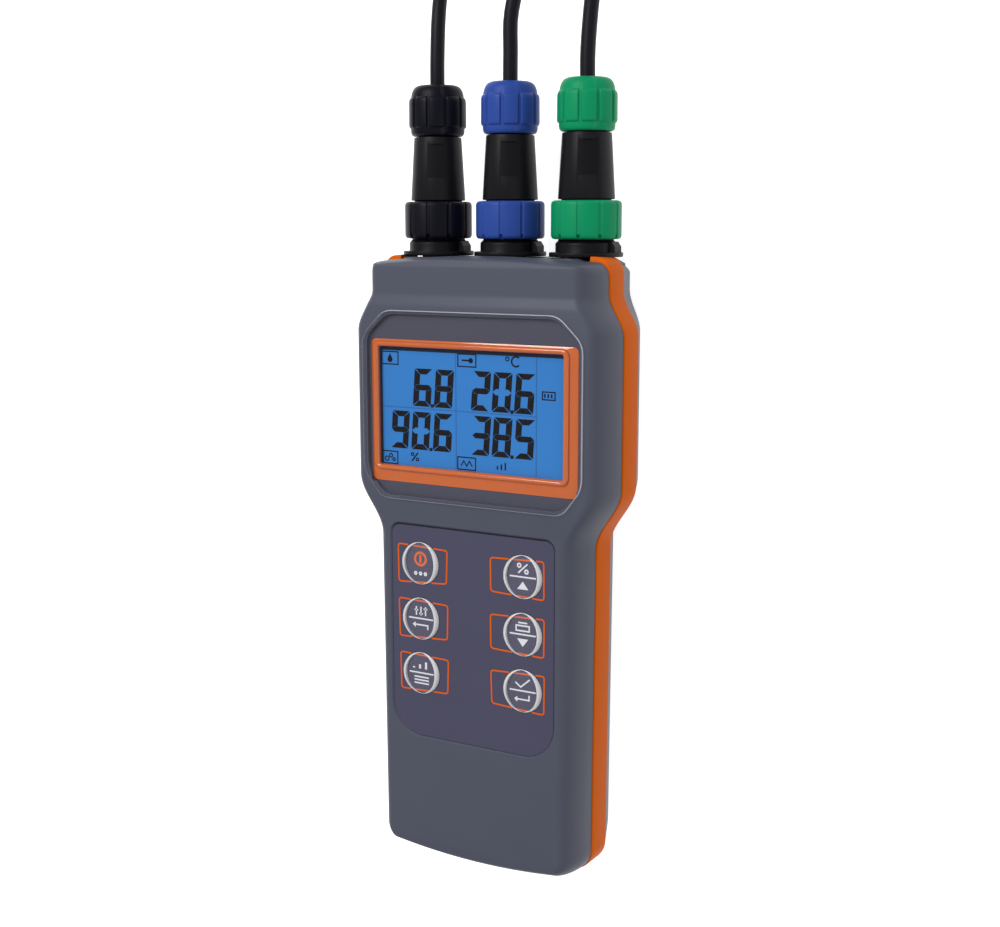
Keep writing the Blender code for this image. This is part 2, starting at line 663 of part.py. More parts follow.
def make_keypad():
    outline = rounded_outline(KEYPAD_HALF, KEYPAD_SPAN, KEYPAD_BOTTOM_RADIUS, KEYPAD_TOP_RADIUS)
    low = RECESS_Z + GAP
    overlay = plate("keypad_overlay", outline, low, low + KEYPAD_THICK, PANEL_DARK)
    rim = FRONT_HEIGHT - KEY_RIM_DROP
    flange_top = INNER_FRONT_Z - GAP
    flange_low = flange_top - KEY_FLANGE
    stem_low = BOARD_Z + BOARD_THICK + KEY_TRAVEL + GAP
    profile = [(KEY_RADIUS * math.sin(math.radians(a)), rim + KEY_CROWN * math.cos(math.radians(a)))
               for a in (0.0, 30.0, 60.0, 90.0)]
    profile += [(KEY_RADIUS, flange_top), (KEY_FLANGE_RADIUS, flange_top), (KEY_FLANGE_RADIUS, flange_low),
                (KEY_STEM_RADIUS, flange_low), (KEY_STEM_RADIUS, stem_low), (0.0, stem_low)]
    for name, x, y in key_spots():
        hole = rod(name + "_overlay_hole", KEY_RADIUS + GAP, low - WALL, FRONT_HEIGHT + WALL,
                   cutter=True, steps=KEY_STEPS, location=(x, y, 0.0))
        cut(overlay, hole)
        turned(name, profile, KEY_CLEAR, steps=KEY_STEPS, location=(x, y, 0.0))


def make_board():
    inset = WALL + BOARD_EDGE
    outline = case_outline(inset, inset, CASE_LENGTH - UPPER_FLARE[1], 0.0)
    board = plate("main_board", outline, BOARD_Z, BOARD_Z + BOARD_THICK, BOARD_GREEN)
    for i, (x, y) in enumerate(screw_spots()):
        hole = rod("board_hole_%d" % i, BOSS_RADIUS + GAP, BOARD_Z - WALL, BOARD_Z + WALL + BOARD_THICK,
                   cutter=True, steps=HOLE_STEPS, location=(x, y, 0.0))
        cut(board, hole)


def make_battery_bay():
    outline = rounded_outline(DOOR_HALF, DOOR_SPAN, DOOR_CORNER, DOOR_CORNER)
    door = plate("battery_door", outline, GAP, GAP + DOOR_THICK, GREY)
    screw_y = BAY_Y - DOOR_TAB / 2.0
    hole = rod("door_hole", SCREW_RADIUS + GAP, -WALL, LEDGE_Z, cutter=True, steps=HOLE_STEPS,
               location=(0.0, screw_y, 0.0))
    cut(door, hole)
    sink = rod("door_sink", SCREW_HEAD_RADIUS + GAP, -WALL, SCREW_HEAD + 3.0 * GAP,
               cutter=True, steps=HOLE_STEPS, location=(0.0, screw_y, 0.0))
    cut(door, sink)
    seal_span = (BAY_Y - DOOR_LEDGE + GAP, DOOR_SPAN[1] - GAP)
    seal_bore = (BAY_Y - GAP, BAY_Y + BAY_LENGTH + GAP)
    seal_top = SEAL_Z + SEAL_THICK
    rings = [frame_rings(DOOR_HALF - GAP, seal_span, SEAL_CORNER, SEAL_Z),
             frame_rings(DOOR_HALF - GAP, seal_span, SEAL_CORNER, seal_top),
             frame_rings(BAY_HALF + GAP, seal_bore, SEAL_INNER_CORNER, seal_top),
             frame_rings(BAY_HALF + GAP, seal_bore, SEAL_INNER_CORNER, SEAL_Z)]
    loft("door_seal", rings, RUBBER, closed=True)
    shoulder = CELL_LENGTH - CELL_NUB
    start = BAY_Y + STRIP_THICK + 2.0 * GAP
    profile = ((0.0, CELL_LENGTH), (CELL_NUB_RADIUS, CELL_LENGTH), (CELL_NUB_RADIUS, shoulder),
               (CELL_RADIUS, shoulder), (CELL_RADIUS, 0.0), (0.0, 0.0))
    for i in range(CELL_COUNT):
        x = (i - (CELL_COUNT - 1) / 2.0) * CELL_STEP
        turned("battery_cell_%d" % (i + 1), profile, CELL_SKIN, steps=KEY_STEPS, location=(x, start, CELL_Z),
               rotation=(math.radians(-90.0), 0.0, 0.0))
    half = BAY_HALF - GAP
    strips = (("contact_strip_low", BAY_Y + GAP),
              ("contact_strip_high", BAY_Y + BAY_LENGTH - GAP - STRIP_THICK))
    for name, y in strips:
        box(name, (-half, y, LEDGE_Z), (half, y + STRIP_THICK, BAY_ROOF_Z - GAP), STEEL)


def make_connector_panel():
    back = PANEL_FACE_Y - PANEL_THICK
    panel = box("connector_panel", (-PANEL_HALF, back, PANEL_Z[0]),
                (PANEL_HALF, PANEL_FACE_Y, PANEL_Z[1]), GREY)
    for side in SIDES:
        hole = rod("panel_hole_" + side, SOCKET_TAIL_RADIUS + GAP, back - WALL, CASE_LENGTH + WALL,
                   cutter=True, location=(SIDE_X[side] * CONNECTOR_PITCH, 0.0, CONNECTOR_HEIGHT),
                   rotation=(math.radians(-90.0), 0.0, 0.0))
        cut(panel, hole)


def along_y(side):
    """Where a connector piece stands: its own Z axis runs along +Y from the panel's outer face."""
    return {"location": (SIDE_X[side] * CONNECTOR_PITCH, PANEL_FACE_Y, CONNECTOR_HEIGHT),
            "rotation": (math.radians(-90.0), 0.0, 0.0)}


def round_ring(radius, height, count):
    turns = [2.0 * math.pi * i / count for i in range(count)]
    return [(radius * math.cos(turn), radius * math.sin(turn), height) for turn in turns]


def fluted_ring(radius, depth, flutes, height):
    """A round with grooves: each flute takes four points, two on the land and two in the groove."""
    ring = []
    for i in range(4 * flutes):
        low = i % 4 >= 2
        turn = 2.0 * math.pi * (i // 4 + FLUTE_SHARES[i % 4]) / flutes
        reach = radius - depth if low else radius
        ring.append((reach * math.cos(turn), reach * math.sin(turn), height))
    return ring


def matched_ring(radius, flutes, height):
    """A plain round whose points stand at the same angles as those of a fluted ring."""
    return fluted_ring(radius, 0.0, flutes, height)


def make_sockets():
    collar_end = SOCKET_FLANGE + SOCKET_COLLAR
    chamfer = SOCKET_COLLAR_RADIUS - SOCKET_THREAD_RADIUS
    tail_end = PANEL_THICK + SOCKET_TAIL
    profile = ((SOCKET_CUP_RADIUS, THREAD_END), (SOCKET_THREAD_RADIUS, THREAD_END),
               (SOCKET_THREAD_RADIUS, collar_end), (SOCKET_COLLAR_RADIUS, collar_end - chamfer),
               (SOCKET_COLLAR_RADIUS, SOCKET_FLANGE + GAP), (SOCKET_FLANGE_RADIUS, SOCKET_FLANGE + GAP),
               (SOCKET_FLANGE_RADIUS, GAP), (SOCKET_TAIL_RADIUS, GAP), (SOCKET_TAIL_RADIUS, -tail_end),
               (0.0, -tail_end))
    cup = ((0.0, collar_end), (SOCKET_CUP_RADIUS, collar_end))
    nut_high = -PANEL_THICK - GAP
    nut_low = nut_high - SOCKET_NUT
    bore = SOCKET_TAIL_RADIUS + GAP
    for side in SIDES:
        turned("socket_" + side, cup + profile, BLACK, **along_y(side))
        rings = [round_ring(SOCKET_NUT_RADIUS, nut_low, 6), round_ring(SOCKET_NUT_RADIUS, nut_high, 6)]
        nut = loft("socket_nut_" + side, rings, STEEL, **along_y(side))
        hole = rod("nut_hole_" + side, bore, nut_low - WALL, nut_high + WALL, cutter=True, **along_y(side))
        cut(nut, hole)


def make_plugs():
    nose = SOCKET_CUP_RADIUS - GAP
    nose_end = SOCKET_FLANGE + SOCKET_COLLAR + 2.0 * GAP
    flange_end = PLUG_FLANGE_START + PLUG_FLANGE
    body = ((0.0, STUB_END), (PLUG_STUB_RADIUS, STUB_END), (PLUG_STUB_RADIUS, PLUG_BODY_END),
            (PLUG_END_RADIUS, PLUG_BODY_END), (PLUG_BASE_RADIUS, PLUG_BODY_START + PLUG_TAPER / 3.0),
            (PLUG_BASE_RADIUS, PLUG_BODY_START), (PLUG_NECK_RADIUS, PLUG_BODY_START),
            (PLUG_NECK_RADIUS, flange_end), (SOCKET_THREAD_RADIUS, flange_end),
            (SOCKET_THREAD_RADIUS, PLUG_FLANGE_START), (nose, PLUG_FLANGE_START), (nose, nose_end),
            (0.0, nose_end))
    ring_end = RING_START + RING_LENGTH
    edge = PLUG_EDGE
    ring = [matched_ring(RING_RADIUS - edge, RING_FLUTES, RING_START),
            fluted_ring(RING_RADIUS, RING_FLUTE_DEPTH, RING_FLUTES, RING_START + edge),
            fluted_ring(RING_RADIUS, RING_FLUTE_DEPTH, RING_FLUTES, ring_end - edge),
            matched_ring(RING_RADIUS - edge, RING_FLUTES, ring_end)]
    ring_bores = ((PLUG_NECK_RADIUS + GAP, RING_START, ring_end + WALL),
                  (RING_BORE, RING_START - WALL, RING_LIP_START))
    gland = [matched_ring(GLAND_RADIUS - edge, GLAND_RIBS, GLAND_START),
             matched_ring(GLAND_RADIUS, GLAND_RIBS, GLAND_START + edge),
             matched_ring(GLAND_RADIUS, GLAND_RIBS, GLAND_START + 3.0 * edge),
             fluted_ring(GLAND_RADIUS, GLAND_RIB_DEPTH, GLAND_RIBS, GLAND_START + 4.0 * edge),
             fluted_ring(GLAND_RADIUS, GLAND_RIB_DEPTH, GLAND_RIBS, GLAND_END - GLAND_DOME),
             fluted_ring(GLAND_SHOULDER_RADIUS, GLAND_RIB_DEPTH / 2.0, GLAND_RIBS, GLAND_END - edge),
             matched_ring(GLAND_MOUTH_RADIUS, GLAND_RIBS, GLAND_END)]
    gland_bores = ((CABLE_RADIUS + GAP, GLAND_START, GLAND_END + WALL),
                   (PLUG_STUB_RADIUS + GAP, GLAND_START - WALL, STUB_END + GAP))
    for side in SIDES:
        turned("plug_body_" + side, body, BLACK, **along_y(side))
        pieces = (("coupling_ring_" + side, ring, ring_bores), ("gland_nut_" + side, gland, gland_bores))
        for name, rings, bores in pieces:
            nut = loft(name, rings, PLUG_COLOUR[side], **along_y(side))
            for i, (radius, low, high) in enumerate(bores):
                cut(nut, rod("%s_bore_%d" % (name, i), radius, low, high, cutter=True, **along_y(side)))


def smooth_path(points, step):
    """Points about a step apart on a smooth curve through the given points."""
    spots = [Vector(p) for p in points]
    padded = [2.0 * spots[0] - spots[1]] + spots + [2.0 * spots[-1] - spots[-2]]
    path = []
    for i in range(1, len(padded) - 2):
        a, b, c, d = padded[i - 1:i + 3]
        pieces = max(1, round((c - b).length / step))
        for k in range(pieces):
            t = k / pieces
            path.append(0.5 * (2.0 * b + (c - a) * t + (2.0 * a - 5.0 * b + 4.0 * c - d) * t * t
                               + (3.0 * b - a - 3.0 * c + d) * t ** 3))
    path.append(spots[-1])
    return path


def coil_points(side):
    """Loops that spiral in on the lower layer, climb, and spiral out on the upper one."""
    turn = COIL_TURN[side]
    base = FLOOR_GAP + CABLE_RADIUS + COIL_LEVEL[side] * COIL_STEP
    half_angle = 2.0 * math.pi * COIL_TURNS
    steps = 2 * COIL_TURNS * LOOP_POINTS
    start = (turn * COIL_OUTER, COIL_CENTRE_Y - CABLE_DIAMETER, base)
    points = [start]
    for i in range(steps + 1):
        angle = 2.0 * half_angle * i / steps
        past = angle - half_angle
        radius = COIL_INNER + COIL_PITCH * abs(past) / (2.0 * math.pi)
        climb = min(1.0, max(0.0, 0.5 + past / math.pi))
        points.append((turn * radius * math.cos(angle), COIL_CENTRE_Y + radius * math.sin(angle),
                       base + COIL_PITCH * ease(climb)))
    points.append((turn * COIL_OUTER, COIL_CENTRE_Y + CABLE_DIAMETER, base + COIL_PITCH))
    return points


def self_gap(points):
    """Least clear distance between stretches of a coil that are half a loop or more apart."""
    apart = LOOP_POINTS // 2
    least = 1.0
    for i in range(len(points)):
        for j in range(i + apart, len(points)):
            least = min(least, math.dist(points[i], points[j]))
    return least - CABLE_DIAMETER


# Free stretches of the cables: the points between the ends, as (x, y from the bottom end, z)
LEAD_ROUTE = {
    "left": ((-0.0231, 0.2220, 0.0200), (-0.0236, 0.2340, 0.0183), (-0.0255, 0.2480, 0.0125),
             (-0.0280, 0.2600, 0.0066), (-0.0298, 0.2730, 0.0030)),
    "middle": ((0.0000, 0.2220, 0.0200), (0.0001, 0.2325, 0.0196), (0.0032, 0.2435, 0.0180),
               (0.0126, 0.2560, 0.0153), (0.0231, 0.2660, 0.0133), (0.0289, 0.2760, 0.0124)),
    "right": ((0.0231, 0.2220, 0.0200), (0.0237, 0.2340, 0.0192), (0.0256, 0.2480, 0.0190),
              (0.0280, 0.2610, 0.0202), (0.0298, 0.2740, 0.0216)),
}
TAIL_ROUTE = {
    "left": ((-0.0299, 0.3090, 0.0060), (-0.0284, 0.3200, 0.0052), (-0.0262, 0.3310, 0.0052),
             (-0.0245, 0.3420, 0.0063)),
    "middle": ((0.0276, 0.3105, 0.0154), (0.0220, 0.3185, 0.0136), (0.0151, 0.3260, 0.0113),
               (0.0080, 0.3335, 0.0092), (0.0026, 0.3415, 0.0077)),
    "right": ((0.0300, 0.3090, 0.0250), (0.0290, 0.3190, 0.0206), (0.0272, 0.3295, 0.0138),
              (0.0252, 0.3405, 0.0085)),
}


def make_cables():
    step = 2.5 * CABLE_DIAMETER
    handle = PROBE_START_Y - PROBE_SLEEVE - GAP
    axis_z = FLOOR_GAP + PROBE_CAP_RADIUS
    for side in SIDES:
        sign = SIDE_X[side]
        coil = coil_points(side)
        exit_y = PANEL_FACE_Y + CABLE_START
        lead = [(sign * CONNECTOR_PITCH, exit_y, CONNECTOR_HEIGHT)]
        lead.append((sign * CONNECTOR_PITCH, PANEL_FACE_Y + GLAND_END, CONNECTOR_HEIGHT))
        lead += LEAD_ROUTE[side]
        lead += [(coil[0][0], coil[0][1] - GAP - back, coil[0][2]) for back in (CABLE_DIAMETER, 0.0)]
        tail = [(coil[-1][0], coil[-1][1] + GAP + on, coil[-1][2]) for on in (0.0, CABLE_DIAMETER)]
        tail += TAIL_ROUTE[side]
        tail += [(sign * PROBE_COLUMN, handle - back, axis_z) for back in (CABLE_DIAMETER, 0.0)]
        tube("cable_lead_" + side, smooth_path(lead, step), CABLE_SIDES, CABLE_BLACK)
        tube("cable_coil_" + side, coil, LOOP_SIDES, CABLE_BLACK)
        tube("cable_tail_" + side, smooth_path(tail, step), CABLE_SIDES, CABLE_BLACK)
        stretches = (lead, coil, tail)
        total = sum(math.dist(a, b) for line in stretches for a, b in zip(line[:-1], line[1:]))
        print("coil_" + side, "least gap to itself %.2f mm" % (1000.0 * self_gap(coil)),
              "cable length %.3f m" % total)


def make_probes():
    shaft_start = PROBE_CAP
    shaft_end = shaft_start + PROBE_SHAFT
    tip_start = shaft_end + GAP
    tip_end = tip_start + PROBE_TIP
    spigot_end = shaft_end + PROBE_TIP / 2.0
    body = ((0.0, spigot_end), (PROBE_SPIGOT_RADIUS, spigot_end), (PROBE_SPIGOT_RADIUS, shaft_end),
            (PROBE_SHAFT_RADIUS, shaft_end), (PROBE_SHAFT_RADIUS, shaft_start),
            (PROBE_CAP_RADIUS, shaft_start - GAP), (PROBE_CAP_RADIUS, PROBE_EDGE),
            (PROBE_CAP_RADIUS - PROBE_EDGE, 0.0), (PROBE_SLEEVE_RADIUS, 0.0),
            (PROBE_SLEEVE_END_RADIUS, -PROBE_SLEEVE), (0.0, -PROBE_SLEEVE))
    bore = PROBE_SPIGOT_RADIUS + GAP
    tip = ((bore, tip_end), (PROBE_TIP_END_RADIUS, tip_end), (PROBE_CAP_RADIUS, tip_end - PROBE_EDGE),
           (PROBE_CAP_RADIUS, tip_start), (bore, tip_start))
    for side in SIDES:
        where = {"location": (SIDE_X[side] * PROBE_COLUMN, PROBE_START_Y, FLOOR_GAP + PROBE_CAP_RADIUS),
                 "rotation": (math.radians(-90.0), 0.0, 0.0)}
        turned("probe_body_" + side, body, PROBE_GREY, steps=KEY_STEPS, **where)
        turned("probe_guard_" + side, tip, PLUG_COLOUR[side], steps=KEY_STEPS, closed=True, **where)


make_front_shell()
make_mid_band()
make_back_shell()
make_screws()
make_window()
make_display()
make_keypad()
make_board()
make_battery_bay()
make_connector_panel()
make_sockets()
make_plugs()
make_cables()
make_probes()
bpy.context.view_layer.update()
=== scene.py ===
"""Looks of the handheld water quality meter: fine shells, window, display, keys, plugs, cords and studio.

Metres, +Z up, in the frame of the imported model. Places along the case are counted in y from its bottom
end, as in the solids, and every piece is shifted to the model's own origin when it is made.
"""
import math

import bmesh
import bpy
from mathutils import Matrix, Vector


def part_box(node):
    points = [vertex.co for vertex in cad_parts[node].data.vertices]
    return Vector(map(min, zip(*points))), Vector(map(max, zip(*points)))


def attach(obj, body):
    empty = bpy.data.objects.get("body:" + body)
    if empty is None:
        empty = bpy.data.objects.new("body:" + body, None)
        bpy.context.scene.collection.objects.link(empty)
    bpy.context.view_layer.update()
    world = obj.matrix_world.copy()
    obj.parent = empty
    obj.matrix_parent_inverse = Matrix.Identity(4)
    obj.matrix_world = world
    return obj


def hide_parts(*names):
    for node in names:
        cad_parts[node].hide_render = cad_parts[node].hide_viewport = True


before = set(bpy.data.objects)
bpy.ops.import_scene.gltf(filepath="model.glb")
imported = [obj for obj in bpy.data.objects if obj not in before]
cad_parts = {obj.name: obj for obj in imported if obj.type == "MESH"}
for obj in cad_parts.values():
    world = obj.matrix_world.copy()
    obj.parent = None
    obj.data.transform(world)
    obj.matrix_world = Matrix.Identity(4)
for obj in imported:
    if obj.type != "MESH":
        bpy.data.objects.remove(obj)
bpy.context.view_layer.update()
BOTTOM_END_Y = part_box("front_shell")[0].y
SIDES = ("left", "middle", "right")
SIDE_X = {"left": -1.0, "middle": 0.0, "right": 1.0}

# Case, as in the solids
CASE_LENGTH = 0.1690
GRIP_HALF = 0.0319
GRIP_TAPER = 0.0005
HEAD_HALF = 0.0392
NECK_HALF = 0.0348
FRONT_HEIGHT = 0.0415
BAND_BOTTOM = 0.0210
BAND_TOP = 0.0300
WALL = 0.0024
GAP = 0.0003
LOWER_FLARE = (0.0925, 0.1090)
UPPER_FLARE = (0.1485, 0.1600)
BOTTOM_CORNER = 0.0062
TOP_CORNER = 0.0034
LEAST_CORNER = 0.0006
BOTTOM_BOW = 0.0016
TOP_BOW = 0.0014
FRONT_SIDE_INSET = 0.0048
FRONT_TOP_INSET = 0.0014
FRONT_BOTTOM_INSET = 0.0030
BACK_SIDE_INSET = 0.0010
BACK_TOP_INSET = 0.0034
BACK_BOTTOM_INSET = 0.0045
BACK_ROUND_HEIGHT = 0.0110
BACK_DRAFT = 0.0008
BACK_TAPER = 0.0092
BACK_NECK_SHARE = 0.85  # slimmer at the neck than the solid
BAND_PROUD = 0.0003
BAND_TOP_PROUD = 0.0012
BAND_LEDGE = 0.0050
BAND_LINE_GAP = 0.0003
BAND_EDGE = 0.0005
NECK_STEP = 0.0008
NECK_STEP_SPAN = (0.1555, 0.1590)

# Window, display and keypad, as in the solids
LENS_TOP_HALF = 0.0268
LENS_HALF = 0.0340
LENS_BOTTOM_HALF = 0.0282
LENS_SPAN = (0.1030, 0.1545)
LENS_TOP_CUT = 0.0070
LENS_BOTTOM_CUT = 0.0075
LENS_Z = (0.0418, 0.0432)
LENS_BEVEL = 0.0009
LENS_TOP_BEVEL = 0.0012
LENS_FILLET = 0.0026
BEZEL_HALF = 0.0317
BEZEL_SPAN = (0.1076, 0.1466)
BEZEL_RIM = 0.0034
BEZEL_RIM_TOP = 0.0020
BEZEL_RIM_BOTTOM = 0.0046
BEZEL_Z = (0.0399, 0.0412)
BEZEL_LIP_Z = 0.0416
BEZEL_SPREAD = 0.0003
POCKET_Z = 0.0403
POCKET_LEDGE = 0.0010
BEZEL_CORNER = 0.0010
DISPLAY_Z = (0.0377, 0.0396)
DISPLAY_MARGIN = 0.0014
KEYPAD_HALF = 0.0254
KEYPAD_SPAN = (0.0362, 0.0959)
KEYPAD_TOP_RADIUS = 0.0025
KEYPAD_BOTTOM_RADIUS = 0.0090
KEYPAD_Z = (0.0406, 0.0412)
RECESS_Z = 0.0403
RECESS_EDGE = 0.0004
KEY_RADIUS = 0.0060
KEY_COLUMN = 0.0162
KEY_ROWS = (0.0855, 0.0698, 0.0542)
KEY_RIM_Z = 0.0414
KEY_CROWN = 0.0010

# Connectors along +Y from the outer face of the top panel, as in the solids
CONNECTOR_PITCH = 0.0231
CONNECTOR_HEIGHT = 0.0201
PANEL_FACE_Y = 0.1684
PANEL_HALF = 0.0290
PANEL_Z = (0.0080, 0.0332)
PANEL_THICK = 0.0044
SOCKET_FLANGE_RADIUS = 0.0098
SOCKET_FLANGE = 0.0012
SOCKET_COLLAR_RADIUS = 0.0081
SOCKET_COLLAR = 0.0034
SOCKET_THREAD_RADIUS = 0.0073
SOCKET_CUP_RADIUS = 0.0058
SOCKET_TAIL_RADIUS = 0.0045
SOCKET_TAIL = 0.0040
THREAD_END = 0.0118
RING_SPAN = (0.0049, 0.0149)
RING_RADIUS = 0.0093
RING_BORE = 0.0076
RING_LIP_START = 0.0129
PLUG_NECK_RADIUS = 0.0065
PLUG_BODY = (0.0152, 0.0322)
PLUG_FLANGE_SPAN = (0.0121, 0.0126)
PLUG_STUB_RADIUS = 0.0050
STUB_END = 0.0405
GLAND_SPAN = (0.0325, 0.0460)

# Cables and probes: the routes repeat the ones in the solids
CABLE_DIAMETER = 0.0040
CABLE_START = 0.0408
COIL_TURNS = 3
COIL_INNER = 0.0166
COIL_PITCH = 0.00455
COIL_OUTER = COIL_INNER + COIL_TURNS * COIL_PITCH
COIL_CENTRE_Y = 0.2925
COIL_STACK_GAP = 0.0014
COIL_STEP = CABLE_DIAMETER + COIL_PITCH + COIL_STACK_GAP
COIL_LEVEL = {"left": 0, "middle": 1, "right": 2}
COIL_TURN = {"left": -1.0, "middle": 1.0, "right": 1.0}
FLOOR_GAP = 0.0002
LOOP_POINTS = 40
PROBE_START_Y = 0.3660
PROBE_COLUMN = 0.0240
PROBE_CAP_RADIUS = 0.0070
PROBE_CAP = 0.0300
PROBE_SHAFT_RADIUS = 0.0060
PROBE_SHAFT = 0.0760
PROBE_TIP = 0.0180
PROBE_SLEEVE = 0.0120
PROBE_SLEEVE_RADIUS = 0.0036
LEAD_ROUTE = {
    "left": ((-0.0231, 0.2220, 0.0200), (-0.0236, 0.2340, 0.0183), (-0.0255, 0.2480, 0.0125),
             (-0.0280, 0.2600, 0.0066), (-0.0298, 0.2730, 0.0030)),
    "middle": ((0.0000, 0.2220, 0.0200), (0.0001, 0.2325, 0.0196), (0.0032, 0.2435, 0.0180),
               (0.0126, 0.2560, 0.0153), (0.0231, 0.2660, 0.0133), (0.0289, 0.2760, 0.0124)),
    "right": ((0.0231, 0.2220, 0.0200), (0.0237, 0.2340, 0.0192), (0.0256, 0.2480, 0.0190),
              (0.0280, 0.2610, 0.0202), (0.0298, 0.2740, 0.0216)),
}
TAIL_ROUTE = {
    "left": ((-0.0299, 0.3090, 0.0060), (-0.0284, 0.3200, 0.0052), (-0.0262, 0.3310, 0.0052),
             (-0.0245, 0.3420, 0.0063)),
    "middle": ((0.0276, 0.3105, 0.0154), (0.0220, 0.3185, 0.0136), (0.0151, 0.3260, 0.0113),
               (0.0080, 0.3335, 0.0092), (0.0026, 0.3415, 0.0077)),
    "right": ((0.0300, 0.3090, 0.0250), (0.0290, 0.3190, 0.0206), (0.0272, 0.3295, 0.0138),
              (0.0252, 0.3405, 0.0085)),
}

# Colours as sRGB, 0 to 255
CASE_GREY = (80, 83, 98)
PRINT_GREY = (75, 75, 91)
ORANGE = (226, 104, 12)
FILM_DARK = (77, 76, 98)
KEY_DARK = (64, 61, 90)
DISPLAY_BLUE = (48, 120, 192)
SEGMENT_DARK = (14, 6, 8)
PLUG_COLOURS = {"left": (12, 12, 24), "middle": (46, 76, 158), "right": (6, 148, 96)}
BLACK = (16, 15, 20)

# Detail of the two noises in a finish, the pointiness over which an edge turns paler as wear and as a painted
# highlight, and the least roughness
BLOTCH_DETAIL = 5.0
SPECK_DETAIL = 3.0
PALE_EDGE_SPAN = (0.52, 0.62)
LEAST_ROUGHNESS = 0.02

# Share of a side that one rounded corner may take up, the distance at which points are welded, and the
# angle over which an edge is sharp
ROUND_SHARE = 0.45
WELD = 1e-7
SHARP = math.radians(34.0)

# Points round a turned piece, by its size
ROUND_LARGE = 64
ROUND_MIDDLE = 48
ROUND_SMALL = 40
ROUND_TINY = 32


def linear(colour):
    """An sRGB colour of 0 to 255 as linear RGBA."""
    shares = [c / 255.0 for c in colour]
    return [c / 12.92 if c <= 0.04045 else ((c + 0.055) / 1.055) ** 2.4 for c in shares] + [1.0]


def ease(t):
    t = min(1.0, max(0.0, t))
    return 0.5 - 0.5 * math.cos(math.pi * t)


def placed(name, data):
    """An object with that data, linked into the scene."""
    thing = bpy.data.objects.new(name, data)
    bpy.context.scene.collection.objects.link(thing)
    return thing


def feed(tree, socket, value):
    """Sets a socket to a plain value, or links it to the socket given as its value."""
    if isinstance(value, bpy.types.NodeSocket):
        tree.links.new(value, socket)
    else:
        socket.default_value = value


def add_node(tree, kind, settings=(), **inputs):
    """Adds a shader node and gives its outputs; in the inputs' names an underscore stands for a space."""
    made = tree.nodes.new("ShaderNode" + kind)
    for name, value in dict(settings).items():
        setattr(made, name, value)
    for name, value in inputs.items():
        feed(tree, made.inputs[name.replace("_", " ")], value)
    return made.outputs


def blend(tree, share, first, second):
    return add_node(tree, "Mix", {"data_type": "RGBA"}, Factor=share, A=first, B=second)["Result"]


def finish(name, colour, roughness, mottle=0.05, mottle_scale=70.0, gloss=0.06, grain=0.25,
           grain_scale=2600.0, grain_depth=0.00006, wear_and_sheen=0.0, **sockets):
    """A moulded finish: mottled colour, uneven gloss, fine grain and, where asked for, paler edges that are
    partly wear and partly a painted highlight.
    """
    made = bpy.data.materials.new(name)
    made.use_nodes = True
    tree = made.node_tree
    base = linear(colour)[:3]
    place = add_node(tree, "TexCoord")["Object"]
    blotch = add_node(tree, "TexNoise", Vector=place, Scale=mottle_scale, Detail=BLOTCH_DETAIL)["Fac"]
    speck = add_node(tree, "TexNoise", Vector=place, Scale=grain_scale, Detail=SPECK_DETAIL)["Fac"]
    dark = [c * (1.0 - mottle) for c in base] + [1.0]
    pale = [min(1.0, c * (1.0 + mottle)) for c in base] + [1.0]
    tone = blend(tree, blotch, dark, pale)
    # Convex edges made paler by pointiness: wear, and partly a painted edge highlight
    if wear_and_sheen:
        edge = add_node(tree, "NewGeometry")["Pointiness"]
        low, high = PALE_EDGE_SPAN
        share = add_node(tree, "MapRange", Value=edge, From_Min=low, From_Max=high, To_Max=wear_and_sheen)
        tone = blend(tree, share["Result"], tone, [0.5 + 0.5 * c for c in base] + [1.0])
    shine = add_node(tree, "MapRange", Value=blotch, To_Min=max(LEAST_ROUGHNESS, roughness - gloss),
                     To_Max=min(1.0, roughness + gloss))
    bump = add_node(tree, "Bump", Strength=grain, Distance=grain_depth, Height=speck)
    sockets.update(Base_Color=tone, Roughness=shine["Result"], Normal=bump["Normal"])
    shader = tree.nodes["Principled BSDF"]
    for socket, value in sockets.items():
        feed(tree, shader.inputs[socket.replace("_", " ")], value)
    return made


def sweep(shape, rings, start=False, end=False, loop=False):
    """Joins rings of points, each ring to the next, with a face over the first or last ring where asked."""
    rows = [[shape.verts.new(point) for point in ring] for ring in rings]
    pairs = list(zip(rows[:-1], rows[1:]))
    if loop:
        pairs.append((rows[-1], rows[0]))
    for low, high in pairs:
        for i in range(len(low)):
            j = (i + 1) % len(low)
            shape.faces.new((low[i], low[j], high[j], high[i]))
    if start:
        shape.faces.new(rows[0][::-1])
    if end:
        shape.faces.new(rows[-1])
    return rows


def swept(rings, **ends):
    shape = bmesh.new()
    sweep(shape, rings, **ends)
    return shape


def filled(rings):
    """A body through the rings, with both its ends filled."""
    return swept(rings, start=True, end=True)


def round_ring(radius, height, steps):
    turns = [2.0 * math.pi * i / steps for i in range(steps)]
    return [(radius * math.cos(a), radius * math.sin(a), height) for a in turns]


def turned(profile, steps=ROUND_LARGE):
    """A round piece on the Z axis, from (radius, height) points; points on the axis become tips."""
    shape = bmesh.new()
    rows = []
    for radius, height in profile:
        if radius <= 0.0:
            rows.append([shape.verts.new((0.0, 0.0, height))])
            continue
        rows.append([shape.verts.new(point) for point in round_ring(radius, height, steps)])
    for low, high in zip(rows[:-1], rows[1:]):
        for i in range(steps):
            j = (i + 1) % steps
            corners = [low[i % len(low)], low[j % len(low)], high[j % len(high)], high[i % len(high)]]
            shape.faces.new(list(dict.fromkeys(corners)))
    return shape


def eased_corner(before, corner, after, reach, steps):
    """Points that round off a corner, starting and ending a reach away from it."""
    first = corner + (before - corner).normalized() * reach
    last = corner + (after - corner).normalized() * reach
    shares = [i / steps for i in range(steps + 1)]
    return [tuple((1 - t) ** 2 * first + 2 * t * (1 - t) * corner + t * t * last) for t in shares]


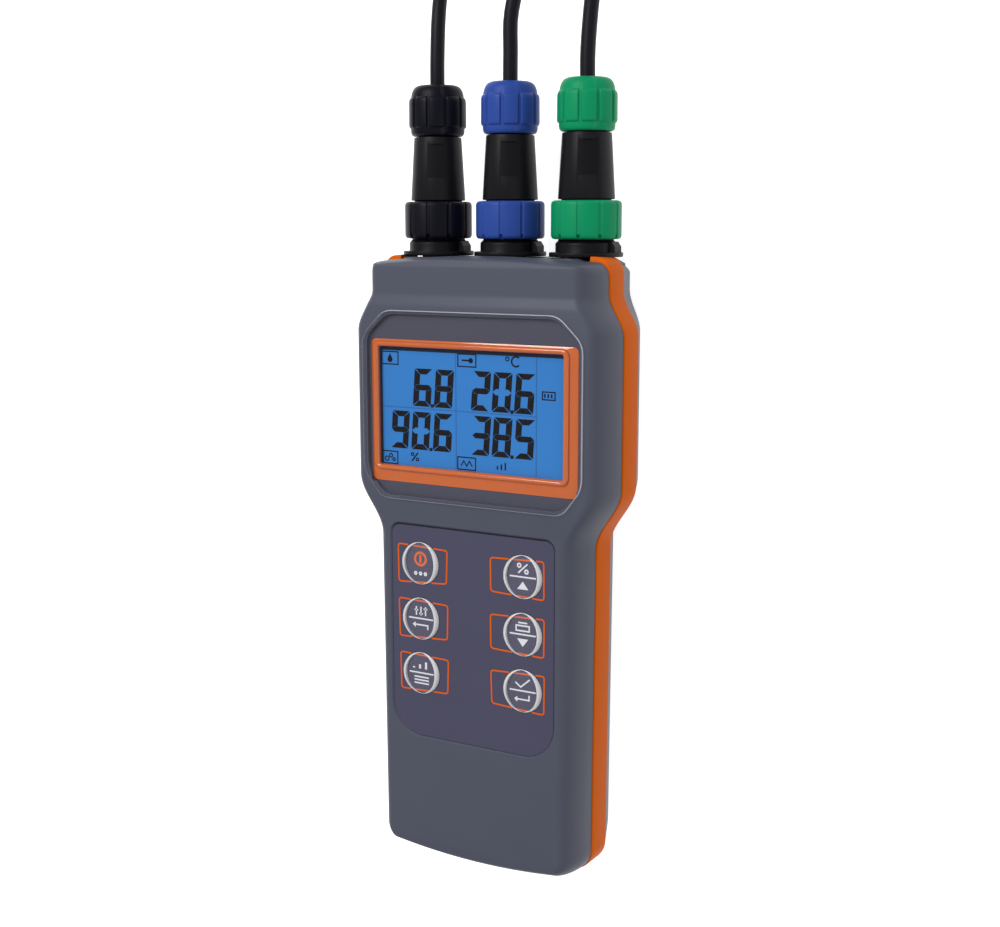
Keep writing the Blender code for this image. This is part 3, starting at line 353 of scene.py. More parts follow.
def rounded_profile(points, radius, steps=4):
    """A profile with its inner corners rounded off, each by the radius or what its sides leave room for."""
    spots = [Vector(p) for p in points]
    out = [tuple(spots[0])]
    for before, corner, after in zip(spots[:-2], spots[1:-1], spots[2:]):
        reach = min(radius, ROUND_SHARE * (before - corner).length, ROUND_SHARE * (after - corner).length)
        out += eased_corner(before, corner, after, reach, steps)
    out.append(tuple(spots[-1]))
    return out


def block(low, high):
    """A box between two corners."""
    shape = bmesh.new()
    size = Vector(high) - Vector(low)
    middle = (Vector(high) + Vector(low)) / 2.0
    bmesh.ops.create_cube(shape, size=1.0, matrix=Matrix.Translation(middle) @ Matrix.Diagonal((*size, 1.0)))
    return shape


def moved(shape, matrix):
    bmesh.ops.transform(shape, matrix=matrix, verts=shape.verts[:])
    return shape


def scratch_object(shape):
    bmesh.ops.recalc_face_normals(shape, faces=shape.faces[:])
    mesh = bpy.data.meshes.new("scratch")
    shape.to_mesh(mesh)
    shape.free()
    return placed("scratch", mesh)


def carved(shape, steps):
    """The shape after each (operation, other shape) step, with all the inputs used up."""
    base = scratch_object(shape)
    tools = []
    for operation, other in steps:
        tools.append(scratch_object(other))
        step = base.modifiers.new("carve", "BOOLEAN")
        step.operation = operation
        step.solver = "EXACT"
        step.object = tools[-1]
    settled = base.evaluated_get(bpy.context.evaluated_depsgraph_get())
    result = bmesh.new()
    result.from_mesh(settled.to_mesh())
    for thing in [base] + tools:
        mesh = thing.data
        bpy.data.objects.remove(thing)
        bpy.data.meshes.remove(mesh)
    bmesh.ops.remove_doubles(result, verts=result.verts[:], dist=WELD)
    return result


def cut(shape):
    return ("DIFFERENCE", shape)


def add(shape):
    return ("UNION", shape)


def add_piece(name, shape, surface, body, nodes=(), slot=None):
    """Makes a piece of a shape whose y is counted from the case's bottom end, riding on a body."""
    bmesh.ops.recalc_face_normals(shape, faces=shape.faces[:])
    moved(shape, Matrix.Translation((0.0, BOTTOM_END_Y, 0.0)))
    mesh = bpy.data.meshes.new(name)
    shape.to_mesh(mesh)
    shape.free()
    mesh.materials.append(surface)
    mesh.shade_smooth()
    mesh.set_sharp_from_angle(angle=SHARP)
    piece = placed(name, mesh)
    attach(piece, body)
    if nodes:
        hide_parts(*nodes)
    return piece


def add_fine(solid, shape, surface, slot, body="meter", side=""):
    """Makes the piece that takes the place of one solid, or of the solid on a side."""
    end = "_" + side if side else ""
    return add_piece(solid + "_fine" + end, shape, surface, body, [solid + end], slot)


def joined(*shapes):
    """Several separate shapes as one."""
    whole = bmesh.new()
    for shape in shapes:
        mesh = bpy.data.meshes.new("scratch")
        shape.to_mesh(mesh)
        shape.free()
        whole.from_mesh(mesh)
        bpy.data.meshes.remove(mesh)
    return whole


def rounded_outline(half, span, low_radius, high_radius=None, points=9):
    """A rectangle centred on x = 0, with one corner radius or with its own at each end."""
    if high_radius is None:
        high_radius = low_radius
    outline = []
    corners = ((half - low_radius, span[0] + low_radius, low_radius, -90.0),
               (half - high_radius, span[1] - high_radius, high_radius, 0.0),
               (high_radius - half, span[1] - high_radius, high_radius, 90.0),
               (low_radius - half, span[0] + low_radius, low_radius, 180.0))
    for x, y, radius, start in corners:
        for i in range(points):
            turn = math.radians(start + 90.0 * i / (points - 1))
            outline.append((x + radius * math.cos(turn), y + radius * math.sin(turn)))
    return outline


def grown(span, by):
    return (span[0] - by, span[1] + by)


def ring_of(outline, height):
    return [(x, y, height) for x, y in outline]


def plate(outline, low, high, edge=0.0):
    """A flat plate of that outline, with a small chamfer round its upper edge."""
    rings = [ring_of(outline, low), ring_of(outline, high - edge)]
    if edge:
        rings.append(ring_of(shrunk(outline, edge), high))
    return filled(rings)


def shrunk(outline, inset):
    """An outline drawn in by an inset, measured square to its sides."""
    count = len(outline)
    out = []
    for i in range(count):
        before, here, after = (Vector(outline[(i + k) % count]) for k in (-1, 0, 1))
        along = ((after - here).normalized() + (here - before).normalized()).normalized()
        out.append((here.x - along.y * inset, here.y + along.x * inset))
    return out


# Camera, fitted to the photograph
CAMERA_EYE = (0.2070, 0.0872, 0.3750)
CAMERA_YAW = math.radians(30.65)
CAMERA_PITCH = math.radians(10.29)
CAMERA_ROLL = math.radians(-0.05)
CAMERA_LENS = 53.81
CAMERA_SHIFT_Y = 0.0316
SENSOR_WIDTH = 36.0
NEAREST_SEEN = 0.01


def make_camera():
    data = bpy.data.cameras.new("camera")
    data.sensor_fit = "HORIZONTAL"
    data.sensor_width = SENSOR_WIDTH
    data.lens = CAMERA_LENS
    data.shift_y = CAMERA_SHIFT_Y
    data.clip_start = NEAREST_SEEN
    camera = placed("camera", data)
    right = Vector((math.cos(CAMERA_YAW), 0.0, -math.sin(CAMERA_YAW)))
    back = Vector((math.sin(CAMERA_YAW), 0.0, math.cos(CAMERA_YAW)))
    up = Vector((0.0, 1.0, 0.0))
    high = math.cos(CAMERA_PITCH) * up - math.sin(CAMERA_PITCH) * back
    away = math.cos(CAMERA_PITCH) * back + math.sin(CAMERA_PITCH) * up
    turn = Matrix((right, high, away)).transposed() @ Matrix.Rotation(CAMERA_ROLL, 3, "Z")
    camera.matrix_world = Matrix.Translation(CAMERA_EYE) @ turn.to_4x4()
    bpy.context.scene.camera = camera


# Studio: a soft lamp over the connector end, a fill on the other side and an even pale room
ROOM_STRENGTH = 0.46
LAMPS = (("key_lamp", (-0.30, 0.68, 0.98), 0.70, 8.5),
         ("fill_lamp", (0.85, -0.30, 0.70), 0.90, 1.0))
LAMP_TARGET = (0.0, 0.02, 0.02)
FLOOR_HALF = 6.0
FLOOR_DROP = 0.0004
FLOOR_GLOW = 0.82
WHITE = (1.0, 1.0, 1.0, 1.0)
PAPER = (0.80, 0.80, 0.80, 1.0)
PAPER_ROUGHNESS = 0.90


def make_studio():
    scene = bpy.context.scene
    scene.view_settings.view_transform = "Standard"
    room = bpy.data.worlds.new("room")
    room.use_nodes = True
    sky = room.node_tree.nodes["Background"].inputs
    sky["Color"].default_value = WHITE
    sky["Strength"].default_value = ROOM_STRENGTH
    scene.world = room
    for name, spot, size, power in LAMPS:
        data = bpy.data.lights.new(name, "AREA")
        data.shape = "DISK"
        data.size = size
        data.energy = power
        lamp = placed(name, data)
        aim = Vector(LAMP_TARGET) - Vector(spot)
        lamp.matrix_world = Matrix.Translation(spot) @ aim.to_track_quat("-Z", "Y").to_matrix().to_4x4()
    floor = placed("floor", bpy.data.meshes.new("floor"))
    corners = [(x * FLOOR_HALF, y * FLOOR_HALF, -FLOOR_DROP)
               for x, y in ((-1.0, -1.0), (1.0, -1.0), (1.0, 1.0), (-1.0, 1.0))]
    floor.data.from_pydata(corners, [], [(0, 1, 2, 3)])
    floor.data.materials.append(floor_surface())


def calculated(tree, operation, first, second):
    made = tree.nodes.new("ShaderNodeMath")
    made.operation = operation
    feed(tree, made.inputs[0], first)
    feed(tree, made.inputs[1], second)
    return made.outputs["Value"]


def floor_surface():
    """White paper that looks white straight on, through glass and in reflections, and keeps the shadows."""
    made = bpy.data.materials.new("floor_paper")
    made.use_nodes = True
    tree = made.node_tree
    ray = add_node(tree, "LightPath")
    seen = ray["Is Camera Ray"]
    for other in ("Is Glossy Ray", "Is Transmission Ray"):
        seen = calculated(tree, "MAXIMUM", seen, ray[other])
    glow = calculated(tree, "MULTIPLY", seen, FLOOR_GLOW)
    shader = tree.nodes["Principled BSDF"]
    for socket, value in (("Base Color", PAPER), ("Roughness", PAPER_ROUGHNESS), ("Emission Color", WHITE),
                          ("Emission Strength", glow)):
        feed(tree, shader.inputs[socket], value)
    return made


# Cables
CABLE_STEP = 0.0030
CABLE_IN_PROBE = 0.0500
CABLE_ROUNDNESS = 5
TIE_WIDTH = 0.0070
TIE_THICK = 0.00016
TIE_ROUND_SHARE = 0.42
TIE_ANGLES = {"left": 205.0, "middle": 60.0, "right": 130.0}


def smooth_path(points, step):
    """Points about a step apart on a smooth curve through the given points."""
    spots = [Vector(p) for p in points]
    padded = [2.0 * spots[0] - spots[1]] + spots + [2.0 * spots[-1] - spots[-2]]
    path = []
    for i in range(1, len(padded) - 2):
        a, b, c, d = padded[i - 1:i + 3]
        pieces = max(1, round((c - b).length / step))
        for k in range(pieces):
            t = k / pieces
            path.append(0.5 * (2.0 * b + (c - a) * t + (2.0 * a - 5.0 * b + 4.0 * c - d) * t * t
                               + (3.0 * b - a - 3.0 * c + d) * t ** 3))
    path.append(spots[-1])
    return path


def coil_base(side):
    return FLOOR_GAP + CABLE_DIAMETER / 2.0 + COIL_LEVEL[side] * COIL_STEP


def coil_points(side):
    """Loops that spiral in on the lower layer, climb, and spiral out on the upper one."""
    turn = COIL_TURN[side]
    base = coil_base(side)
    half_angle = 2.0 * math.pi * COIL_TURNS
    steps = 2 * COIL_TURNS * LOOP_POINTS
    points = [(turn * COIL_OUTER, COIL_CENTRE_Y - CABLE_DIAMETER, base)]
    for i in range(steps + 1):
        angle = 2.0 * half_angle * i / steps
        past = angle - half_angle
        radius = COIL_INNER + COIL_PITCH * abs(past) / (2.0 * math.pi)
        climb = 0.5 + past / math.pi
        points.append((turn * radius * math.cos(angle), COIL_CENTRE_Y + radius * math.sin(angle),
                       base + COIL_PITCH * ease(climb)))
    points.append((turn * COIL_OUTER, COIL_CENTRE_Y + CABLE_DIAMETER, base + COIL_PITCH))
    return points


def cable_path(side):
    """The whole cable: out of the gland, down to its coil, round it, and on into the probe."""
    x = SIDE_X[side] * CONNECTOR_PITCH
    coil = coil_points(side)
    handle = PROBE_START_Y - PROBE_SLEEVE - GAP
    axis_z = FLOOR_GAP + PROBE_CAP_RADIUS
    lead = [(x, PANEL_FACE_Y + along, CONNECTOR_HEIGHT) for along in (CABLE_START, GLAND_SPAN[1])]
    lead += LEAD_ROUTE[side]
    lead += [(coil[0][0], coil[0][1] - GAP - back, coil[0][2]) for back in (CABLE_DIAMETER, 0.0)]
    tail = [(coil[-1][0], coil[-1][1] + GAP + on, coil[-1][2]) for on in (0.0, CABLE_DIAMETER)]
    tail += TAIL_ROUTE[side]
    tail += [(SIDE_X[side] * PROBE_COLUMN, handle - back, axis_z) for back in (CABLE_DIAMETER, 0.0)]
    tail.append((SIDE_X[side] * PROBE_COLUMN, PROBE_START_Y + CABLE_IN_PROBE, axis_z))
    return smooth_path(lead, CABLE_STEP) + [Vector(p) for p in coil] + smooth_path(tail, CABLE_STEP)


def make_cable(side, surface):
    path = cable_path(side)
    data = bpy.data.curves.new("cable_" + side, "CURVE")
    data.dimensions = "3D"
    data.bevel_depth = CABLE_DIAMETER / 2.0
    data.bevel_resolution = CABLE_ROUNDNESS
    data.use_fill_caps = True
    spline = data.splines.new("POLY")
    spline.points.add(len(path) - 1)
    for point, spot in zip(spline.points, path):
        point.co = (spot.x, spot.y + BOTTOM_END_Y, spot.z, 1.0)
    spline.use_smooth = True
    data.materials.append(surface)
    cable = placed("cable_" + side, data)
    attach(cable, "plug_" + side)
    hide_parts("cable_lead_" + side, "cable_coil_" + side, "cable_tail_" + side)


def make_tie(side, surface):
    """A band of thin tape once round the coil's bundle, across its turns."""
    base = coil_base(side)
    reach = CABLE_DIAMETER / 2.0
    heading = TIE_ANGLES[side] if COIL_TURN[side] > 0.0 else 180.0 - TIE_ANGLES[side]
    round_share = heading % 360.0 / 360.0
    slack = COIL_PITCH * min(round_share, 1.0 - round_share)
    near, far = COIL_INNER + slack - reach, COIL_OUTER - slack + reach
    low, high = base - reach, base + COIL_PITCH + reach
    rings = []
    for across in (-TIE_WIDTH / 2.0, TIE_WIDTH / 2.0):
        for grow in (0.0, TIE_THICK):
            ring = tie_outline(near - grow, far + grow, low - grow, high + grow)
            rings.append([(r, across, z) for r, z in ring])
    shape = swept([rings[0], rings[2], rings[3], rings[1]], loop=True)
    turn = Matrix.Rotation(math.radians(TIE_ANGLES[side]), 4, "Z")
    moved(shape, Matrix.Translation((0.0, COIL_CENTRE_Y, 0.0)) @ turn)
    return add_piece("coil_tie_" + side, shape, surface, "plug_" + side, slot="seal_rubber")


def tie_outline(near, far, low, high):
    """The bundle's section: a flat-sided loop with well rounded ends."""
    shifted = rounded_outline((far - near) / 2.0, (low, high), (high - low) * TIE_ROUND_SHARE, points=8)
    return [(x + (near + far) / 2.0, z) for x, z in shifted]


# Battery bay, door and screws, as in the solids
BAY_HALF = 0.0165
BAY_SPAN = (0.0300, 0.0769)
BAY_ROOF_Z = 0.0145
BAY_WALL = 0.0016
DOOR_HALF = 0.0183
DOOR_SPAN = (0.0200, 0.0787)
DOOR_CORNER = 0.0037
DOOR_Z = (0.0003, 0.0023)
LEDGE_Z = 0.0037
SCREW_PLACES = ((0.0168, 0.0130), (0.0202, 0.1532))
SCREW_RADIUS = 0.0013
SCREW_HEAD_RADIUS = 0.0027
SCREW_SINK = 0.0040
SCREW_HEAD_Z = (0.0019, 0.0037)
DOOR_SCREW_Y = 0.0250
DOOR_SCREW_Z = (0.0006, 0.0024)
CELL_RADIUS = 0.00525
CELL_STEP = 0.0108
CELL_Z = 0.00895
CELL_SPAN = (0.0312, 0.0757)

# Steps along the outline: half an end's bow, a bottom corner, the two flares, a top corner
BOW_STEPS = 6
BOTTOM_STEPS = 10
LOWER_STEPS = 24
UPPER_STEPS = 28
TOP_STEPS = 8

# Degrees from ring to ring round the case's edges
RING_STEP = 9


def half_outline(side, bottom, top, taper):
    """The right half of the case's outline, from the bottom middle up to the top middle."""
    grip = GRIP_HALF - side - taper
    head = HEAD_HALF - side - taper
    neck = NECK_HALF - side - BACK_NECK_SHARE * taper
    corner_x = max(BOTTOM_CORNER - side, LEAST_CORNER)
    corner_y = max(BOTTOM_CORNER - bottom, LEAST_CORNER)
    top_x = max(TOP_CORNER - side, LEAST_CORNER)
    top_y = max(TOP_CORNER - top, LEAST_CORNER)
    half = []
    flat = grip - GRIP_TAPER - corner_x
    for i in range(BOW_STEPS):
        x = flat * i / BOW_STEPS
        half.append((x, bottom + BOTTOM_BOW * (x / flat) ** 2))
    for i in range(BOTTOM_STEPS + 1):
        turn = math.radians(90.0 * i / BOTTOM_STEPS)
        x = flat + corner_x * math.sin(turn)
        half.append((x, bottom + BOTTOM_BOW + corner_y * (1.0 - math.cos(turn))))
    flares = ((LOWER_FLARE, LOWER_STEPS, grip, head), (UPPER_FLARE, UPPER_STEPS, head, neck))
    for span, steps, first, last in flares:
        for t in (i / steps for i in range(steps + 1)):
            half.append((first + (last - first) * ease(t), span[0] + (span[1] - span[0]) * t))
    end = CASE_LENGTH - top
    flat = neck - top_x
    for i in range(TOP_STEPS + 1):
        turn = math.radians(90.0 * i / TOP_STEPS)
        half.append((flat + top_x * math.cos(turn), end - TOP_BOW - top_y * (1.0 - math.sin(turn))))
    for i in range(BOW_STEPS - 1, -1, -1):
        x = flat * i / BOW_STEPS
        half.append((x, end - TOP_BOW * (x / flat) ** 2))
    return half


def case_ring(side, bottom, top, height, taper=0.0):
    half = half_outline(side, bottom, top, taper)
    return ring_of(half + [(-x, y) for x, y in reversed(half[1:-1])], height)


def ladder(shape, row):
    """Closes a ring that is the same on both sides of x = 0 with faces that run straight across."""
    count = len(row)
    for k in range(count // 2):
        corners = (row[k], row[k + 1], row[(count - k - 1) % count], row[(count - k) % count])
        shape.faces.new(list(dict.fromkeys(corners)))


def front_rings(inset, low, high):
    rings = []
    for degrees in range(0, 91, RING_STEP):
        out = 1.0 - math.cos(math.radians(degrees))
        rise = math.sin(math.radians(degrees))
        rings.append(case_ring(inset + FRONT_SIDE_INSET * out, inset + FRONT_BOTTOM_INSET * out,
                               inset + FRONT_TOP_INSET * out, low + (high - low) * rise))
    return rings


def back_rings(inset, low, high):
    rings = []
    for degrees in range(90, -1, -RING_STEP):
        out = 1.0 - math.cos(math.radians(degrees))
        drop = math.sin(math.radians(degrees))
        height = low + BACK_ROUND_HEIGHT * (1.0 - drop)
        rings.append(case_ring(inset + BACK_SIDE_INSET * out, inset + BACK_DRAFT + BACK_BOTTOM_INSET * out,
                               inset + BACK_DRAFT + BACK_TOP_INSET * out, height,
                               BACK_TAPER * (1.0 - height / BAND_BOTTOM)))
    rings.append(case_ring(inset, inset, inset, high))
    return rings


def skin(rings):
    """A closed lofted body whose two ends are filled straight across."""
    shape = bmesh.new()
    rows = sweep(shape, rings)
    ladder(shape, rows[0])
    ladder(shape, rows[-1])
    return shape


def key_spots():
    for side, sign in (("left", -1.0), ("right", 1.0)):
        for row, y in enumerate(KEY_ROWS, start=1):
            yield "key_%s_%d" % (side, row), sign * KEY_COLUMN, y


def screw_spots():
    for x, y in SCREW_PLACES:
        for sign in (-1.0, 1.0):
            yield sign * x, y


def pin(radius, low, high, x, y, steps=ROUND_TINY):
    shape = turned(((0.0, low), (radius, low), (radius, high), (0.0, high)), steps)
    return moved(shape, Matrix.Translation((x, y, 0.0)))


def panel_slot(low, high):
    reach = PANEL_HALF + GAP
    return block((-reach, PANEL_FACE_Y - PANEL_THICK - GAP, low), (reach, CASE_LENGTH + WALL, high))


def make_front_shell(surface):
    outer = skin(front_rings(0.0, BAND_TOP, FRONT_HEIGHT))
    for vert in outer.verts:
        depth = ease((vert.co.z - BAND_TOP) / (FRONT_HEIGHT - BAND_TOP))
        along = ease((vert.co.y - NECK_STEP_SPAN[0]) / (NECK_STEP_SPAN[1] - NECK_STEP_SPAN[0]))
        vert.co.z -= NECK_STEP * depth * along
    top = FRONT_HEIGHT + WALL
    hollow = [case_ring(WALL, WALL, WALL, BAND_TOP - WALL)]
    hollow += front_rings(WALL, BAND_TOP, FRONT_HEIGHT - WALL)[::2]
    window = rounded_outline(BEZEL_HALF + GAP, grown(BEZEL_SPAN, GAP), BEZEL_CORNER)
    recess = rounded_outline(KEYPAD_HALF + GAP, grown(KEYPAD_SPAN, GAP), KEYPAD_BOTTOM_RADIUS + GAP,
                             KEYPAD_TOP_RADIUS + GAP)
    wide = shrunk(recess, -RECESS_EDGE)
    tray = [ring_of(recess, RECESS_Z), ring_of(recess, FRONT_HEIGHT - RECESS_EDGE),
            ring_of(wide, FRONT_HEIGHT), ring_of(wide, top)]
    pocket = lens_outline(POCKET_LEDGE)
    steps = [cut(skin(hollow)), cut(plate(window, BAND_TOP, top)), cut(plate(pocket, POCKET_Z, top)),
             cut(filled(tray)), cut(panel_slot(BAND_BOTTOM, PANEL_Z[1] + GAP))]
    steps += [cut(pin(KEY_RADIUS + GAP, BAND_TOP, top, x, y, ROUND_MIDDLE)) for _, x, y in key_spots()]
    add_fine("front_shell", carved(outer, steps), surface, "case_grey")


def make_band(surface):
    low = BAND_BOTTOM + BAND_LINE_GAP
    high = BAND_TOP - BAND_LINE_GAP
    section = ((BAND_LEDGE, low), (-BAND_PROUD, low), (-BAND_PROUD, high), (BAND_LEDGE, high))
    rings = [case_ring(inset, inset, inset + BAND_PROUD - BAND_TOP_PROUD, height)
             for inset, height in rounded_profile(section, BAND_EDGE, 3)]
    reach = PANEL_HALF + GAP
    near, far = CASE_LENGTH - 2.0 * BAND_LEDGE, CASE_LENGTH + WALL
    mouth = rounded_profile(((-reach, far), (-reach, near), (reach, near), (reach, far)), BAND_EDGE)
    shape = carved(swept(rings, loop=True), [cut(plate(mouth, low - WALL, high + WALL))])
    add_fine("mid_band", shape, surface, "band_orange")


def make_back_shell(surface):
    outer = skin(back_rings(0.0, 0.0, BAND_BOTTOM))
    hollow = back_rings(WALL, WALL, BAND_BOTTOM)[::2]
    hollow.append(case_ring(WALL, WALL, WALL, BAND_BOTTOM + WALL))
    half = DOOR_HALF + BAY_WALL
    low, high = grown(DOOR_SPAN, BAY_WALL)
    bay_block = block((-half, low, WALL / 2.0), (half, high, BAY_ROOF_Z + BAY_WALL))
    bay = block((-BAY_HALF, BAY_SPAN[0], -WALL), (BAY_HALF, BAY_SPAN[1], BAY_ROOF_Z))
    door = rounded_outline(DOOR_HALF + GAP, grown(DOOR_SPAN, GAP), DOOR_CORNER + GAP)
    steps = [cut(skin(hollow)), add(bay_block), cut(bay), cut(plate(door, -WALL, LEDGE_Z)),
             cut(panel_slot(PANEL_Z[0] - GAP, BAND_BOTTOM + WALL))]
    for x, y in screw_spots():
        steps += [add(pin(SCREW_HEAD_RADIUS + BAY_WALL, WALL / 2.0, BAND_BOTTOM, x, y)),
                  cut(pin(SCREW_RADIUS + GAP, -WALL, BAND_BOTTOM + WALL, x, y)),
                  cut(pin(SCREW_HEAD_RADIUS + GAP, -WALL, SCREW_SINK, x, y))]
    steps.append(cut(pin(SCREW_RADIUS + GAP, 0.0, BAY_ROOF_Z, 0.0, DOOR_SCREW_Y)))
    add_fine("back_shell", carved(outer, steps), surface, "case_grey")


# The turn that lays a piece's own Z axis along +Y
TOWARD_Y = Matrix.Rotation(math.radians(-90.0), 4, "X")

# Coupling rings, as the photograph shows them
RING_PADS = 10
RING_LAND = 0.80
RING_GROOVE = 0.00026
RING_EDGE = 0.0009

# The coupling ring's two ends: height from the end, share of the rounded edge, depth of the grooves
RING_FOOT = ((0.0, 1.0, 0.0003), (0.00012, 0.5, 0.0008), (0.0004, 0.18, 0.0009), (0.0009, 0.0, 0.0009),
             (0.0013, 0.0, RING_GROOVE))
RING_HEAD = ((0.0011, 0.0, RING_GROOVE), (0.0005, 0.15, RING_GROOVE), (0.0002, 0.45, RING_GROOVE),
             (0.0, 1.0, 0.0001))

# A pad's steps, the places in the groove beside it, and how far each point stands out
PAD_STEPS = 7
GROOVE_PLACES = (0.10, 0.24, 0.50, 0.76, 0.90)
PAD_LIFTS = (0.94, 1.0, 1.0, 1.0, 1.0, 1.0, 1.0, 0.94, 0.55, 0.08, 0.0, 0.08, 0.55)

# Gland, plug body, socket and connector panel
GLAND_PADS = 10
GLAND_LAND = 0.74
BODY_BASE_RADIUS = 0.0075
BODY_END_RADIUS = 0.0065
BODY_PANEL_HALF = 0.0034
BODY_PANEL_SPAN = (0.0212, 0.0303)
BODY_PANEL_DEPTH = 0.00050
BODY_PANEL_TURN = -60.0
BODY_PANEL_REACH = 0.004
BODY_EDGE = 0.0003
LUG_HALF = 0.0019
LUG_REACH = 0.0094
LUG_BEVEL = (0.0009, 0.0013)
SOCKET_EDGE = 0.00025
PANEL_EDGE = 0.0003
PANEL_BEVEL = (0.0034, 0.0017)

# The gland nut's section: height over its lower end, radius in the grooves, radius on the pads
GLAND_SECTION = ((0.0000, 0.00660, 0.00660), (0.0002, 0.00695, 0.00695), (0.0006, 0.00722, 0.00722),
                 (0.0012, 0.00735, 0.00735), (0.0021, 0.00738, 0.00738), (0.0022, 0.00738, 0.00762),
                 (0.0025, 0.00738, 0.00784), (0.0030, 0.00738, 0.00790), (0.0090, 0.00735, 0.00788),
                 (0.0097, 0.00732, 0.00778), (0.0101, 0.00728, 0.00752), (0.0103, 0.00726, 0.00728),
                 (0.0112, 0.00712, 0.00712), (0.0120, 0.00688, 0.00688), (0.0127, 0.00648, 0.00648),
                 (0.0132, 0.00596, 0.00596), (0.0135, 0.00520, 0.00520), (0.0135, 0.00290, 0.00290),
                 (0.0130, 0.00230, 0.00230),
                 (0.0083, 0.00230, 0.00230), (0.0083, 0.00530, 0.00530), (0.0000, 0.00530, 0.00530))


def along_y(side):
    """Where a connector piece stands: its own Z axis runs along +Y from the panel's outer face."""
    spot = (SIDE_X[side] * CONNECTOR_PITCH, PANEL_FACE_Y, CONNECTOR_HEIGHT)
    return Matrix.Translation(spot) @ TOWARD_Y


def padded_ring(groove, pad, pads, land, height):
    """A ring of points that stands out on its pads and steps softly back in the grooves between them."""
    shares = [land * i / PAD_STEPS for i in range(PAD_STEPS + 1)]
    shares += [land + (1.0 - land) * t for t in GROOVE_PLACES]
    ring = []
    for i in range(pads):
        for share, lift in zip(shares, PAD_LIFTS):
            turn = 2.0 * math.pi * (i + share) / pads
            radius = groove + (pad - groove) * lift
            ring.append((radius * math.cos(turn), radius * math.sin(turn), height))
    return ring


def make_socket(side, surface):
    collar_end = SOCKET_FLANGE + SOCKET_COLLAR
    chamfer = SOCKET_COLLAR_RADIUS - SOCKET_THREAD_RADIUS
    tail_end = PANEL_THICK + SOCKET_TAIL
    outside = ((SOCKET_CUP_RADIUS, THREAD_END), (SOCKET_THREAD_RADIUS, THREAD_END),
               (SOCKET_THREAD_RADIUS, collar_end), (SOCKET_COLLAR_RADIUS, collar_end - chamfer),
               (SOCKET_COLLAR_RADIUS, SOCKET_FLANGE + GAP), (SOCKET_FLANGE_RADIUS, SOCKET_FLANGE + GAP),
               (SOCKET_FLANGE_RADIUS, GAP), (SOCKET_TAIL_RADIUS, GAP), (SOCKET_TAIL_RADIUS, -tail_end),
               (0.0, -tail_end))
    profile = rounded_profile(((0.0, collar_end), (SOCKET_CUP_RADIUS, collar_end)) + outside, SOCKET_EDGE, 2)
    root = SOCKET_CUP_RADIUS + GAP
    lug_top = collar_end - GAP
    section = ((root, SOCKET_FLANGE), (LUG_REACH, SOCKET_FLANGE), (LUG_REACH, lug_top - LUG_BEVEL[1]),
               (LUG_REACH - LUG_BEVEL[0], lug_top), (root, lug_top))
    lug = filled([[(r, y, h) for r, h in section] for y in (-LUG_HALF, LUG_HALF)])
    shape = moved(carved(turned(profile), [add(lug)]), along_y(side))
    add_fine("socket", shape, surface, "black_plastic", side=side)


def make_ring(side, surface):
    start, end = RING_SPAN
    rings = [(start + height, RING_RADIUS - RING_EDGE * share, notch) for height, share, notch in RING_FOOT]
    rings += [(end - height, RING_RADIUS - RING_EDGE * share, notch) for height, share, notch in RING_HEAD]
    bore = PLUG_NECK_RADIUS + GAP
    lip = RING_LIP_START
    rings += [(end, bore, 0.0), (lip, bore, 0.0), (lip, RING_BORE, 0.0), (start, RING_BORE, 0.0)]
    outline = [padded_ring(radius - notch, radius, RING_PADS, RING_LAND, height)
               for height, radius, notch in rings]
    shape = moved(swept(outline, loop=True), along_y(side))
    add_fine("coupling_ring", shape, surface, None, "ring_" + side, side)


def make_plug_body(side, surface):
    start, end = PLUG_BODY
    nose = SOCKET_CUP_RADIUS - GAP
    nose_end = SOCKET_FLANGE + SOCKET_COLLAR + 2.0 * GAP
    profile = ((0.0, STUB_END), (PLUG_STUB_RADIUS, STUB_END), (PLUG_STUB_RADIUS, end), (BODY_END_RADIUS, end),
               (BODY_BASE_RADIUS, start), (PLUG_NECK_RADIUS, start), (PLUG_NECK_RADIUS, PLUG_FLANGE_SPAN[1]),
               (SOCKET_THREAD_RADIUS, PLUG_FLANGE_SPAN[1]), (SOCKET_THREAD_RADIUS, PLUG_FLANGE_SPAN[0]),
               (nose, PLUG_FLANGE_SPAN[0]), (nose, nose_end), (0.0, nose_end))
    lean = math.atan2(BODY_BASE_RADIUS - BODY_END_RADIUS, end - start)
    low, high = BODY_PANEL_SPAN
    share = ((low + high) / 2.0 - start) / (end - start)
    floor = BODY_BASE_RADIUS + (BODY_END_RADIUS - BODY_BASE_RADIUS) * share - BODY_PANEL_DEPTH
    steps = []
    for half_turn in (0.0, 180.0):
        flat = block((0.0, -BODY_PANEL_HALF, (low - high) / 2.0),
                     (BODY_PANEL_REACH, BODY_PANEL_HALF, (high - low) / 2.0))
        moved(flat, Matrix.Rotation(-lean, 4, "Y"))
        moved(flat, Matrix.Translation((floor, 0.0, (low + high) / 2.0)))
        moved(flat, Matrix.Rotation(math.radians(BODY_PANEL_TURN + half_turn), 4, "Z"))
        steps.append(cut(flat))
    shape = moved(carved(turned(rounded_profile(profile, BODY_EDGE, 2)), steps), along_y(side))
    add_fine("plug_body", shape, surface, "black_plastic", "plug_" + side, side)


def make_gland(side, surface):
    rings = [padded_ring(groove, pad, GLAND_PADS, GLAND_LAND, GLAND_SPAN[0] + height)
             for height, groove, pad in GLAND_SECTION]
    shape = moved(swept(rings, loop=True), along_y(side))
    add_fine("gland_nut", shape, surface, None, "gland_" + side, side)


